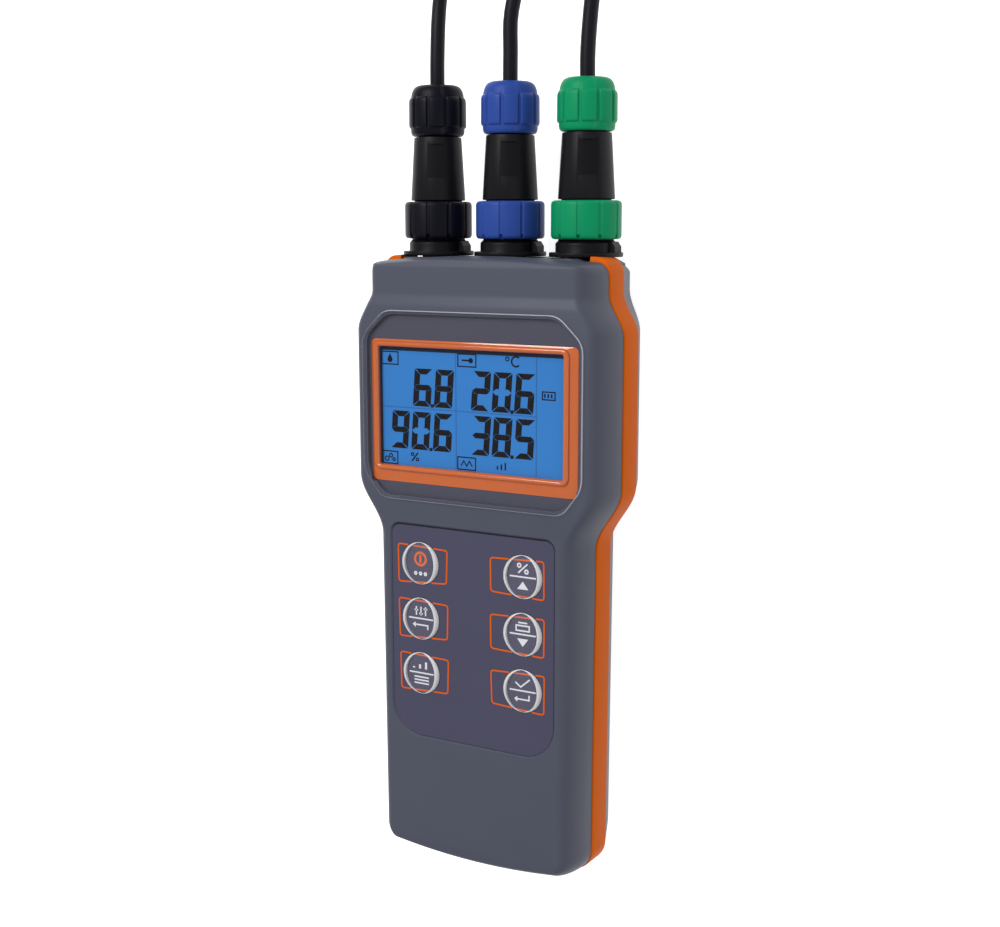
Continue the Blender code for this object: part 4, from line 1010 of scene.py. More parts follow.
def make_panel(surface):
    """The wall that carries the sockets: a plate with softened edges, bevelled ends and three round holes."""
    middle = (PANEL_Z[0] + PANEL_Z[1]) / 2.0
    reach = (PANEL_Z[1] - PANEL_Z[0]) / 2.0
    outline = rounded_outline(PANEL_HALF, (-reach, reach), LEAST_CORNER, points=4)
    steps = [cut(pin(SOCKET_TAIL_RADIUS + GAP, -PANEL_THICK - WALL, WALL, SIDE_X[side] * CONNECTOR_PITCH,
                     middle - CONNECTOR_HEIGHT)) for side in SIDES]
    run, drop = PANEL_BEVEL
    inner, outer = PANEL_HALF - run, PANEL_HALF + run
    section = ((inner, 0.0), (outer, -2.0 * drop), (outer, run), (inner, run))
    for sign in (-1.0, 1.0):
        wedge = [[(sign * x, across, h) for x, h in section] for across in (-PANEL_HALF, PANEL_HALF)]
        steps.append(cut(filled(wedge)))
    shape = carved(plate(outline, -PANEL_THICK, 0.0, PANEL_EDGE), steps)
    moved(shape, Matrix.Translation((0.0, PANEL_FACE_Y, middle)) @ TOWARD_Y)
    add_fine("connector_panel", shape, surface, "case_grey")


# Printed marks: how high they lie and how thick they are
MARK_LIFT = 0.00003
MARK_THICK = 0.00004
MARK_SHIFT = (-0.0015, -0.0003, 0.0)
LINE_THIN = 0.00030
LINE_MARK = 0.00042
LINE_BROAD = 0.0007
DIVIDER_LINE = LINE_THIN * 0.7
MITRE_LEAST = 0.5
FILLET_STEPS = 5

# Bezel: its opening, the round bead and the flange; then the painted shade: dark strips on the opening's
# walls and a painted shadow along the display's top
OPENING_HALF = 0.0286
OPENING_SHIFT = -0.0008
BEAD_INNER = 0.0010
BEAD_OUTER = 0.0008
BEAD_FOOT_Z = 0.0408
BEAD_TALL_SHARE = 0.85
BEAD_STEPS = 14
FLANGE_EDGE = 0.00013
FLANGE_CORNER = 0.0014
SHADE_DROP = 0.0011
SHADE_SINK = 0.00005
SHADE_THICK = 0.00025
TOP_SHADOW_FLAP = 0.0011

# Window: the shoulder of its bevel and the pale line of painted highlight along its edge
SHOULDER_IN = LENS_BEVEL * 0.2
SHOULDER_IN_TOP = LENS_BEVEL * 0.3
SHOULDER_DROP = LENS_BEVEL * 0.75
EDGE_HIGHLIGHT = 0.00016
EDGE_SKIN = 0.00003

# Keypad film, keys and the power sign
FILM_SPREAD = 0.00022
FILM_TOP_GAP = 0.00012
FILM_EDGE = 0.00012
KEY_PLAY = 0.00006
KEY_FOOT_RADIUS = 0.0071
KEY_FOOT_THICK = 0.0012
KEY_STEM_RADIUS = 0.0025
KEY_STEM_Z = 0.0328
DOME_RADIUS = 0.0048
# How thin the rim's painted highlight gets at the top and bottom, and how quickly it thins
RIM_LEAST = 0.12
RIM_FALL = 1.3
RIM_TURNS = 72
RIM_FOOT = 0.00006
OUTLINE_WIDTH = 0.00042
OUTLINE_FILLET = 0.0009
OUTLINE_BREAK = 3.0 * KEY_PLAY
POWER_RADIUS = 0.00175
POWER_LINE = 0.00070
POWER_LIFT = 0.0012
POWER_BAR_SHARE = 0.62

# The clear dome, and the white crescents of painted highlight on its rim, as radius and height over the key's
# rim
DOME_SECTION = ((0.0020, 0.00097), (0.0036, 0.00087), (DOME_RADIUS, 0.00070), (0.00530, 0.00060),
                (0.00560, 0.00042), (0.00580, 0.00012))
RIM_SECTION = ((DOME_RADIUS, 0.00074), (0.00505, 0.00080), (0.00530, 0.00074), (0.00560, 0.00052),
               (0.00582, 0.00020))

# Figures on the display: segment widths, joints and slant, and which segments each figure lights
DISPLAY_EDGE = 0.0002
DIGIT_POST = 0.00178
DIGIT_BAR = 0.00150
DIGIT_CUT = 0.00014
DIGIT_SLANT = 0.075
DIGIT_GAP = 0.00008
POINT_HALF = 0.00045
POINT_LEAN = 0.00005
SEGMENTS = {"0": "abcdef", "2": "abged", "3": "abgcd", "5": "afgcd", "6": "afgedc", "8": "abcdefg",
            "9": "abcdfg"}

# Readings: digits as (sign, left x, right x), with the lower and upper end of their row; plain numbers
READINGS = ((0.1290, 0.1392, (("6", -0.0173, -0.0116), ("8", -0.0105, -0.0048))),
            (0.1289, 0.1394, (("2", 0.0012, 0.0067), ("0", 0.0076, 0.0132), ("6", 0.0144, 0.0201))),
            (0.1171, 0.1274, (("9", -0.0247, -0.0191), ("0", -0.0180, -0.0123), ("6", -0.0110, -0.0052))),
            (0.1170, 0.1275, (("3", 0.0012, 0.0067), ("8", 0.0076, 0.0132), ("5", 0.0144, 0.0201))))
POINTS = ((-0.0114, 0.1293), (0.0134, 0.1292), (-0.0120, 0.1174), (0.0134, 0.1173))
DIVIDERS = (((-0.0039, 0.1128), (-0.0039, 0.1443)), ((0.0207, 0.1128), (0.0207, 0.1443)),
            ((-0.0279, 0.1284), (0.0207, 0.1284)))
LABEL_BOXES = ((-0.0277, -0.0224, 0.1400, 0.1434), (-0.0032, 0.0024, 0.1404, 0.1437),
               (-0.0280, -0.0229, 0.1126, 0.1160), (-0.0034, 0.0022, 0.1128, 0.1161))

# Orange outlines round the keys, corner by corner
KEY_OUTLINES = {
    "key_left_1": ((-0.0235, 0.0904), (-0.0075, 0.0899), (-0.0078, 0.0806), (-0.0234, 0.0797)),
    "key_left_2": ((-0.0234, 0.0750), (-0.0074, 0.0746), (-0.0076, 0.0649), (-0.0232, 0.0641)),
    "key_left_3": ((-0.0231, 0.0595), (-0.0073, 0.0591), (-0.0076, 0.0495), (-0.0229, 0.0490)),
    "key_right_1": ((0.0062, 0.0897), (0.0225, 0.0903), (0.0226, 0.0799), (0.0063, 0.0805)),
    "key_right_2": ((0.0062, 0.0741), (0.0227, 0.0747), (0.0226, 0.0642), (0.0063, 0.0647)),
    "key_right_3": ((0.0063, 0.0585), (0.0228, 0.0592), (0.0227, 0.0485), (0.0066, 0.0493)),
}


def ribbon(shape, points, width, height, closed=False):
    """A flat printed line through the points, as a very thin strip with mitred corners."""
    spots = [Vector(p) for p in points]
    count = len(spots)
    edges = []
    for i, here in enumerate(spots):
        before = spots[i - 1] if i or closed else None
        after = spots[(i + 1) % count] if i < count - 1 or closed else None
        ways = []
        if before is not None:
            ways.append((here - before).normalized())
        if after is not None:
            ways.append((after - here).normalized())
        along = sum(ways, Vector((0.0, 0.0))).normalized()
        stretch = 1.0 / max(MITRE_LEAST, along.dot(ways[0]))
        side = Vector((-along.y, along.x)) * (width / 2.0 * stretch)
        edges.append((here + side, here - side))
    top = height + MARK_THICK
    rings = [[(p.x, p.y, z) for p, z in ((left, height), (right, height), (right, top), (left, top))]
             for left, right in edges]
    sweep(shape, rings, start=not closed, end=not closed, loop=closed)


def patch(shape, outline, height):
    """A flat printed patch of that outline."""
    sweep(shape, [ring_of(outline, height), ring_of(outline, height + MARK_THICK)], start=True, end=True)


def arc(centre, radius, start, end, steps):
    turns = [math.radians(start + (end - start) * i / steps) for i in range(steps + 1)]
    return [(centre[0] + radius * math.cos(a), centre[1] + radius * math.sin(a)) for a in turns]


def digit(shape, sign, left, right, low, high, height):
    """A slanted seven-segment figure in its box, with cut corners and narrow joints between the segments."""
    wide, tall = right - left, high - low
    gap, post, bar, middle = DIGIT_GAP, DIGIT_POST, DIGIT_BAR, tall / 2.0
    level = ((gap + DIGIT_CUT, tall), (wide - gap - DIGIT_CUT, tall), (wide - post - gap, tall - bar),
             (post + gap, tall - bar))
    inner = middle + bar / 2.0 + gap
    upright = ((0.0, tall - gap - DIGIT_CUT), (post, tall - bar - gap), (post, inner), (post / 2.0, inner),
               (0.0, middle + gap))
    end = post / 2.0 + gap
    above, below = middle + bar / 2.0, middle - bar / 2.0
    centre = ((gap, middle), (end, above), (wide - end, above), (wide - gap, middle), (wide - end, below),
              (end, below))
    drawn = {"a": (level, False, False), "b": (upright, True, False), "c": (upright, True, True),
             "d": (level, False, True), "e": (upright, False, True), "f": (upright, False, False),
             "g": (centre, False, False)}
    for name in SEGMENTS[sign]:
        outline, across, over = drawn[name]
        points = [(wide - u if across else u, tall - v if over else v) for u, v in outline]
        patch(shape, [(left + u + (v - middle) * DIGIT_SLANT, low + v) for u, v in points], height)


def rectangle(left, right, low, high):
    return ((left, low), (right, low), (right, high), (left, high))


def stroke(*points, width=LINE_MARK):
    return (points, width, False)


def hoop(points, width=LINE_THIN):
    return (points, width, True)


def dot(*points):
    return (points, 0.0, True)


def circle(x, y, radius, steps=10, end=330.0):
    return arc((x, y), radius, 0.0, end, steps)


def bars(x, step, low, high, rise=0.0, width=LINE_MARK):
    """Three upright lines side by side, each taller than the one before by the rise."""
    return [stroke((x + step * i, low), (x + step * i, high + rise * i), width=width) for i in range(3)]


def draw(shape, strokes, x, y, height):
    """Draws strokes counted from a place: open and closed lines, and filled spots, which have no width."""
    for points, width, closed in strokes:
        shifted = [(x + px, y + py) for px, py in points]
        if width:
            ribbon(shape, shifted, width, height, closed=closed)
        else:
            patch(shape, shifted, height)


# Unit signs on the display: degree and percent; then bars and a cell beside the readings
UNIT_SIGNS = [hoop(circle(0.0120, 0.1430, 0.0005, 12, 345.0)),
              stroke(*arc((0.0146, 0.1424), 0.0013, 45.0, 315.0, 16)),
              stroke((-0.0182, 0.1138), (-0.0162, 0.1162)),
              hoop(circle(-0.0180, 0.1157, 0.0004)), hoop(circle(-0.0164, 0.1143, 0.0004))]
SIDE_SIGNS = (bars(0.0090, 0.0012, 0.1136, 0.1146, 0.0005) + [hoop(rectangle(0.0225, 0.0262, 0.1330, 0.1350))]
              + bars(0.0232, 0.0010, 0.1335, 0.1345))

# Pictograms in the label boxes, from each box's middle: drop, thermometer, bubbles and zigzag
LABEL_SIGNS = ([dot((0.0, 0.0012), *arc((0.0, -0.0004), 0.0008, 150.0, 390.0, 12))],
               [stroke((-0.0016, 0.0), (0.0008, 0.0)), dot(*circle(0.0012, 0.0, 0.0007, 11))],
               [hoop(circle(-0.0010, -0.0004, 0.0006, 11)), hoop(circle(0.0003, 0.0005, 0.0005, 11)),
                hoop(circle(0.0013, -0.0005, 0.0004, 11))],
               [stroke((-0.0018, -0.0007), (-0.0009, 0.0007), (0.0, -0.0007), (0.0009, 0.0007),
                       (0.0018, -0.0007), width=LINE_THIN)])

# Pictograms on the keys, from each key's middle; all but the first key have a dividing line
DIVIDED = [stroke((-0.0040, 0.0), (0.0040, 0.0))]
SLIDERS = [[stroke((x, 0.0009), (x, 0.0034)), stroke((x - 0.0006, knob), (x + 0.0006, knob))]
           for x, knob in ((-0.0015, 0.0024), (0.0, 0.0014), (0.0015, 0.0028))]
KEY_SIGNS = {
    "key_left_1": [hoop(circle(x, -0.0029, 0.00035), LINE_MARK) for x in (-0.0016, 0.0, 0.0016)],
    "key_left_2": DIVIDED + sum(SLIDERS, []) + [
        stroke((0.0022, -0.0030), (0.0022, -0.0018), (-0.0018, -0.0018)),
        dot((-0.0018, -0.0010), (-0.0028, -0.0018), (-0.0018, -0.0026))],
    "key_left_3": DIVIDED + bars(-0.0025, 0.0020, 0.0012, 0.0016, 0.0008, LINE_BROAD) + [
        stroke((-0.0024, y), (0.0024, y)) for y in (-0.0012, -0.0021, -0.0030)],
    "key_right_1": DIVIDED + [
        stroke((-0.0014, 0.0010), (0.0014, 0.0036)), hoop(circle(-0.0011, 0.0031, 0.0005), LINE_MARK),
        hoop(circle(0.0011, 0.0015, 0.0005), LINE_MARK),
        dot((-0.0017, -0.0034), (0.0017, -0.0034), (0.0, -0.0012))],
    "key_right_2": DIVIDED + [
        hoop(rectangle(-0.0020, 0.0020, 0.0010, 0.0024), LINE_MARK),
        stroke((-0.0014, 0.0032), (0.0014, 0.0032)),
        dot((-0.0017, -0.0012), (0.0, -0.0034), (0.0017, -0.0012))],
    "key_right_3": DIVIDED + [
        stroke((-0.0022, 0.0022), (-0.0006, 0.0010), (0.0022, 0.0034)),
        stroke((0.0020, -0.0010), (0.0020, -0.0024), (-0.0016, -0.0024)),
        dot((-0.0016, -0.0016), (-0.0026, -0.0024), (-0.0016, -0.0032))],
}


def make_display(glass, ink, ghost):
    half = BEZEL_HALF - BEZEL_RIM + DISPLAY_MARGIN
    span = (BEZEL_SPAN[0] + BEZEL_RIM_BOTTOM - DISPLAY_MARGIN, BEZEL_SPAN[1] - BEZEL_RIM_TOP + DISPLAY_MARGIN)
    shape = plate(rounded_outline(half, span, LEAST_CORNER, points=4), *DISPLAY_Z, DISPLAY_EDGE)
    add_piece("display_glass", shape, glass, "meter", ["display_panel"], "display_blue")
    height = DISPLAY_Z[1] + MARK_LIFT
    marks = bmesh.new()
    for low, high, figures in READINGS:
        for sign, left, right in figures:
            digit(marks, sign, left, right, low, high, height)
    for x, y in POINTS:
        corners = rectangle(x - POINT_HALF, x + POINT_HALF, y - POINT_HALF, y + POINT_HALF)
        patch(marks, corners[:2] + tuple((px + POINT_LEAN, py) for px, py in corners[2:]), height)
    draw(marks, UNIT_SIGNS + [hoop(rectangle(*label)) for label in LABEL_BOXES], 0.0, 0.0, height)
    for (left, right, low, high), sign in zip(LABEL_BOXES, LABEL_SIGNS):
        draw(marks, sign, (left + right) / 2.0, (low + high) / 2.0, height)
    draw(marks, SIDE_SIGNS, 0.0, 0.0, height)
    moved(marks, Matrix.Translation(MARK_SHIFT))
    add_piece("display_marks", marks, ink, "meter", slot="display_blue")
    faint = bmesh.new()
    for ends in DIVIDERS:
        ribbon(faint, ends, DIVIDER_LINE, height)
    moved(faint, Matrix.Translation(MARK_SHIFT))
    add_piece("display_dividers", faint, ghost, "meter", slot="display_blue")


def opening_outline(wide, tall):
    """The bezel's opening, grown by one length on its sides and by another at its top and bottom."""
    span = (BEZEL_SPAN[0] + BEZEL_RIM_BOTTOM - tall, BEZEL_SPAN[1] - BEZEL_RIM_TOP + tall)
    outline = rounded_outline(OPENING_HALF + wide, span, LEAST_CORNER + tall)
    return [(x + OPENING_SHIFT, y) for x, y in outline]


def make_bezel(surface):
    """A frame that stands in the front's opening, lies over the pocket's floor and ends in a round bead."""
    rings = []
    for inset, height, corner in ((0.0, BEZEL_Z[0], BEZEL_CORNER), (0.0, POCKET_Z + MARK_LIFT, BEZEL_CORNER),
                                  (-BEZEL_SPREAD, POCKET_Z + MARK_LIFT, FLANGE_CORNER),
                                  (-BEZEL_SPREAD, POCKET_Z + FLANGE_EDGE, FLANGE_CORNER),
                                  (FLANGE_EDGE - BEZEL_SPREAD, POCKET_Z + 2.0 * FLANGE_EDGE, FLANGE_CORNER)):
        rings.append(ring_of(rounded_outline(BEZEL_HALF - inset, BEZEL_SPAN, corner), height))
    for i in range(BEAD_STEPS + 1):
        turn = math.pi * i / BEAD_STEPS
        side = BEAD_OUTER if turn < math.pi / 2.0 else BEAD_INNER
        rise = (BEZEL_LIP_Z - BEAD_FOOT_Z) * math.sin(turn)
        wide = BEAD_INNER + side * math.cos(turn)
        rings.append(ring_of(opening_outline(wide, wide * BEAD_TALL_SHARE), BEAD_FOOT_Z + rise))
    rings.append(ring_of(opening_outline(0.0, 0.0), BEZEL_Z[0]))
    add_fine("display_bezel", swept(rings, loop=True), surface, "bezel_orange")


def make_painted_shade(surface):
    """Painted shade: a dark strip on the opening's sides and top, down to the display, with a broader flap
    along the top that paints the lip's shadow.
    """
    left, right = OPENING_SHIFT - OPENING_HALF, OPENING_SHIFT + OPENING_HALF
    bottom, top = BEZEL_SPAN[0] + BEZEL_RIM_BOTTOM, BEZEL_SPAN[1] - BEZEL_RIM_TOP
    low, high = DISPLAY_Z[1] + MARK_LIFT / 3.0, BEZEL_LIP_Z - SHADE_DROP
    shape = bmesh.new()
    for sides in ((left - SHADE_SINK, left + SHADE_THICK, bottom, top),
                  (right - SHADE_THICK, right + SHADE_SINK, bottom, top),
                  (left, right, top - SHADE_THICK, top + SHADE_SINK)):
        outline = rectangle(*sides)
        sweep(shape, [ring_of(outline, low), ring_of(outline, high)], start=True, end=True)
    # The flap along the display's top edge is the bezel lip's painted shadow
    patch(shape, rectangle(left, right, top - TOP_SHADOW_FLAP, top), DISPLAY_Z[1] + MARK_LIFT)
    add_piece("display_painted_shade", shape, surface, "meter", slot="black_plastic")


def lens_outline(inset, top_inset=None):
    """The window's eight-sided outline with rounded corners, drawn in by an inset or its own at the top."""
    low, high = LENS_SPAN
    top = high - (inset if top_inset is None else top_inset)
    right = ((LENS_BOTTOM_HALF - inset / 2.0, low + inset), (LENS_HALF - inset, low + LENS_BOTTOM_CUT),
             (LENS_HALF - inset, high - LENS_TOP_CUT), (LENS_TOP_HALF - inset / 2.0, top))
    return filleted(right + tuple((-x, y) for x, y in reversed(right)), LENS_FILLET)


def filleted(points, fillet):
    """An outline with each corner rounded off."""
    corners = [Vector(p) for p in points]
    outline = []
    for i, corner in enumerate(corners):
        after = corners[(i + 1) % len(corners)]
        outline += eased_corner(corners[i - 1], corner, after, fillet, FILLET_STEPS)
    return outline


def make_window(clear, printed, edge):
    low, high = LENS_Z
    shoulder = high - LENS_BEVEL
    rows = ((0.0, 0.0, low), (0.0, 0.0, shoulder), (SHOULDER_IN, SHOULDER_IN_TOP, high - SHOULDER_DROP),
            (LENS_BEVEL, LENS_TOP_BEVEL, high))
    rings = [ring_of(lens_outline(inset, top_inset), height) for inset, top_inset, height in rows]
    add_fine("window_lens", filled(rings), clear, "window_clear")
    sheet = plate(lens_outline(POCKET_LEDGE + MARK_LIFT), POCKET_Z + MARK_LIFT, POCKET_Z + 3.0 * MARK_LIFT)
    reach = BEZEL_SPREAD - 2.0 * MARK_LIFT
    hole = rounded_outline(BEZEL_HALF + reach, grown(BEZEL_SPAN, -MARK_LIFT), FLANGE_CORNER)
    shape = carved(sheet, [cut(plate(hole, FRONT_HEIGHT - WALL, low + WALL))])
    add_piece("window_print", shape, printed, "meter", slot="case_grey")
    # A pale strip on the bevel's shoulder: a painted highlight along the window's edge
    low, high = shoulder - EDGE_HIGHLIGHT, shoulder + EDGE_HIGHLIGHT
    rows = ((-EDGE_SKIN, low), (EDGE_HIGHLIGHT, high), (EDGE_HIGHLIGHT + EDGE_SKIN, high), (EDGE_SKIN, low))
    rings = [ring_of(lens_outline(inset), height) for inset, height in rows]
    add_piece("window_edge_highlight", swept(rings, loop=True), edge, "meter", slot="window_clear")


def runs(points, keep):
    """The stretches of a line whose points are kept, each with at least two points."""
    stretch = []
    for point in points:
        if keep(point):
            stretch.append(point)
            continue
        if len(stretch) > 1:
            yield stretch
        stretch = []
    if len(stretch) > 1:
        yield stretch


def outline_points(corners, step=0.0002):
    """Points a step or less apart along a closed outline, back to the first one."""
    points = []
    for first, last in zip(corners, corners[1:] + corners[:1]):
        pieces = max(1, round(math.dist(first, last) / step))
        for k in range(pieces):
            share = k / pieces
            points.append((first[0] + (last[0] - first[0]) * share, first[1] + (last[1] - first[1]) * share))
    points.append(points[0])
    return points


def make_key(name, x, y, core, dome, rim, white, orange):
    """One key: a dark core, its printed marks, a clear dome over them and white crescents on the dome's rim,
    a painted highlight that is broad on the left and right.
    """
    top = KEYPAD_Z[1]
    under = top + 2.0 * MARK_THICK
    inner = FRONT_HEIGHT - WALL - GAP
    foot = inner - KEY_FOOT_THICK
    wide = KEY_RADIUS - KEY_PLAY
    body = ((0.0, top), (wide, top), (wide, inner), (KEY_FOOT_RADIUS, inner), (KEY_FOOT_RADIUS, foot),
            (KEY_STEM_RADIUS, foot), (KEY_STEM_RADIUS, KEY_STEM_Z), (0.0, KEY_STEM_Z))
    cap = [(0.0, KEY_RIM_Z + KEY_CROWN)] + [(r, KEY_RIM_Z + h) for r, h in DOME_SECTION]
    cap += [(wide - KEY_PLAY, under), (0.0, under)]
    swell = [(DOME_RADIUS, under)] + [(r, KEY_RIM_Z + h) for r, h in RIM_SECTION]
    swell += [(wide, under + RIM_FOOT), (wide, under)]
    # White crescents of painted highlight: thick on the rim's left and right, thin at its top and bottom
    highlight_crescents = []
    for turn in (math.radians(360.0 * k / RIM_TURNS) for k in range(RIM_TURNS)):
        share = RIM_LEAST + (1.0 - RIM_LEAST) * abs(math.cos(turn)) ** RIM_FALL
        section = [(wide + (r - wide) * share, under + (h - under) * share) for r, h in swell]
        highlight_crescents.append([(r * math.cos(turn), r * math.sin(turn), h) for r, h in section])
    here = Matrix.Translation((x, y, 0.0))
    ride = name + "_button"
    add_piece(name + "_core", moved(turned(body, ROUND_MIDDLE), here), core, ride, [name], "key_clear")
    add_piece(name + "_dome", moved(turned(cap, RIM_TURNS), here), dome, ride, slot="key_clear")
    add_piece(name + "_rim", moved(swept(highlight_crescents, loop=True), here), rim, ride, slot="key_clear")
    own = bmesh.new()
    key_outline(own, name, lambda p: math.dist(p, (x, y)) < KEY_RADIUS - OUTLINE_BREAK)
    if name == "key_left_1":
        centre = (x, y + POWER_LIFT)
        ribbon(own, arc(centre, POWER_RADIUS, 0.0, 350.0, 35), POWER_LINE, top + MARK_LIFT, closed=True)
        ends = [(x, centre[1] + sign * POWER_RADIUS * POWER_BAR_SHARE) for sign in (-1.0, 1.0)]
        ribbon(own, ends, POWER_LINE, top + MARK_LIFT)
    add_piece(name + "_outline", own, orange, ride, slot="band_orange")
    signs = bmesh.new()
    draw(signs, KEY_SIGNS[name], x, y, top + MARK_LIFT)
    add_piece(name + "_sign", signs, white, ride, slot="key_clear")


def key_outline(shape, name, keep):
    """The stretches of a key's orange outline whose points are kept."""
    points = outline_points(filleted(KEY_OUTLINES[name], OUTLINE_FILLET))
    for stretch in runs(points, keep):
        ribbon(shape, stretch, OUTLINE_WIDTH, KEYPAD_Z[1] + MARK_LIFT / 2.0)


def make_keypad(film, orange, *key_surfaces):
    """The film over the keypad, the six keys that come through it, and the outlines printed on the film."""
    span = (KEYPAD_SPAN[0] - FILM_SPREAD, KEYPAD_SPAN[1] - FILM_TOP_GAP)
    outline = rounded_outline(KEYPAD_HALF + FILM_SPREAD, span, KEYPAD_BOTTOM_RADIUS, KEYPAD_TOP_RADIUS,
                              points=14)
    holes = [cut(pin(KEY_RADIUS + KEY_PLAY, RECESS_Z - WALL, FRONT_HEIGHT + WALL, x, y, ROUND_LARGE))
             for _, x, y in key_spots()]
    add_fine("keypad_overlay", carved(plate(outline, *KEYPAD_Z, FILM_EDGE), holes), film, "keypad_film")
    printed = bmesh.new()
    for name, x, y in key_spots():
        make_key(name, x, y, *key_surfaces, orange)
        key_outline(printed, name, lambda p: math.dist(p, (x, y)) > KEY_RADIUS + OUTLINE_BREAK)
    add_piece("key_outlines", printed, orange, "meter", slot="band_orange")


# Battery door: chamfer and grip grooves, each as half width, half height and depth
DOOR_CHAMFER = 0.0004
GRIP_GROOVES = 6
GRIP_START = 0.0050
GRIP_STEP = 0.0016
GRIP_GROOVE = (0.0075, 0.00045, 0.0005)

# Cells: sleeve, shoulder and nub
CELL_COUNT = 3
CELL_WRAP_EDGE = 0.0004
CELL_SKIN = 0.0001
CELL_SHOULDER_RADIUS = 0.0036
CELL_SHOULDER = 0.0009
CELL_FOOT = 0.00002
CELL_NUB_RADIUS = 0.0023625
CELL_NUB_SPAN = (0.0008, 0.0002)
CELL_NUB_EDGE = 0.0002

# Screw heads: cross recess and softened edge
CROSS_HALF = (0.0014, 0.00028)
CROSS_DEPTH = 0.0009
SCREW_EDGE = 0.0005


def make_screw(name, x, y, low, high, surface, body):
    """A screw with its head down: a softened head with a cross recess, and a shank with a blunt end."""
    head_top = low + SCREW_HEAD_Z[1] - SCREW_HEAD_Z[0]
    profile = ((0.0, low), (SCREW_HEAD_RADIUS, low), (SCREW_HEAD_RADIUS, head_top), (SCREW_RADIUS, head_top),
               (SCREW_RADIUS, high - SCREW_RADIUS / 2.0), (SCREW_RADIUS / 2.0, high), (0.0, high))
    long, thin = CROSS_HALF
    cross = [cut(block((-a, -b, low - CROSS_DEPTH), (a, b, low + CROSS_DEPTH)))
             for a, b in ((long, thin), (thin, long))]
    shape = carved(turned(rounded_profile(profile, SCREW_EDGE, 3), ROUND_TINY), cross)
    add_fine(name, moved(shape, Matrix.Translation((x, y, 0.0))), surface, "steel", body)


def make_door(surface):
    """The battery door: softened outer edge, a sunk screw hole and a patch of grip grooves."""
    outline = rounded_outline(DOOR_HALF, DOOR_SPAN, DOOR_CORNER)
    low, high = DOOR_Z
    rings = [ring_of(shrunk(outline, DOOR_CHAMFER), low), ring_of(outline, low + DOOR_CHAMFER),
             ring_of(outline, high)]
    steps = [cut(pin(SCREW_RADIUS + GAP, low - WALL, high + WALL, 0.0, DOOR_SCREW_Y)),
             cut(pin(SCREW_HEAD_RADIUS + GAP, low - WALL, DOOR_SCREW_Z[1] + GAP, 0.0, DOOR_SCREW_Y))]
    half, thin, depth = GRIP_GROOVE
    for i in range(GRIP_GROOVES):
        y = DOOR_SPAN[1] - GRIP_START - GRIP_STEP * i
        steps.append(cut(block((-half, y - thin, low - WALL), (half, y + thin, low + depth))))
    add_fine("battery_door", carved(filled(rings), steps), surface, "case_grey", "battery_lid")


def make_cells(wrap, metal):
    length = CELL_SPAN[1] - CELL_SPAN[0]
    skin_radius = CELL_RADIUS - CELL_SKIN
    shoulder = length - CELL_SHOULDER
    sleeve = ((0.0, CELL_FOOT), (CELL_SHOULDER_RADIUS, 0.0), (skin_radius, 0.0), (skin_radius, shoulder),
              (CELL_SHOULDER_RADIUS, shoulder), (0.0, shoulder))
    sleeve = rounded_profile(sleeve, CELL_WRAP_EDGE, 3)
    low, high = (length - drop for drop in CELL_NUB_SPAN)
    nub = ((0.0, high), (CELL_NUB_RADIUS, high), (CELL_NUB_RADIUS, low), (0.0, low))
    nub = rounded_profile(nub, CELL_NUB_EDGE, 2)
    for i in range(CELL_COUNT):
        x = (i - (CELL_COUNT - 1) / 2.0) * CELL_STEP
        stand = Matrix.Translation((x, CELL_SPAN[0], CELL_Z)) @ TOWARD_Y
        number = "_%d" % (i + 1)
        shape = moved(turned(sleeve, ROUND_SMALL), stand)
        add_piece("battery_cell_wrap" + number, shape, wrap, "meter", ["battery_cell" + number], "cell_skin")
        shape = moved(turned(nub, ROUND_TINY), stand)
        add_piece("battery_cell_nub" + number, shape, metal, "meter", slot="contact_metal")


# Probes in detail, along +Y from the end of the cable sleeve's root
PROBE_SLEEVE_END_RADIUS = 0.0026
PROBE_SPIGOT_RADIUS = 0.0042
PROBE_TIP_END_RADIUS = 0.0062
PROBE_EDGE = 0.0015
PROBE_TURNS = 72
CAP_RIBS = 18
CAP_RIB_LAND = 0.62
CAP_RIB_DEPTH = 0.0005
CAP_RIB_SPAN = (0.0050, 0.0250)

# The handle's two ends: height from the end, and how far the surface is drawn in there
CAP_FOOT = ((0.0, PROBE_EDGE), (0.0003, PROBE_EDGE * 0.5), (0.0009, PROBE_EDGE * 0.12), (0.0015, 0.0))
CAP_HEAD = ((0.0012, 0.0), (0.0005, 0.0002), (0.0, 0.0008))

# The cable sleeve's relief rings: height of its root, its plain collar, and a groove as drop and depth
SLEEVE_RINGS = 5
SLEEVE_ROOT = 0.0010
SLEEVE_COLLAR = 0.0008
SLEEVE_GROOVE = ((0.0002, 0.0005), (0.0008, 0.0005), (0.0010, 0.0))
SLEEVE_EDGE = 0.0002

# The shaft: how far it stands in the handle, and the groove over the handle as height and depth
SHAFT_ROOT = 0.0010
SHAFT_GROOVE = ((0.0040, 0.0), (0.0036, 0.0003), (0.0028, 0.0003), (0.0024, 0.0))
SHAFT_EDGE = 0.0003

# The guard: rims and slots
GUARD_EDGE = 0.0004
GUARD_MOUTH = (0.0003, 0.0002)
GUARD_SHOULDER = (0.0002, 0.0003)
GUARD_SLOTS = 4
GUARD_SLOT_HALF = 0.0022
GUARD_SLOT_SPAN = (0.0050, 0.0140)
GUARD_SLOT_CORNER = 0.0020
GUARD_SLOT_REACH = 0.02

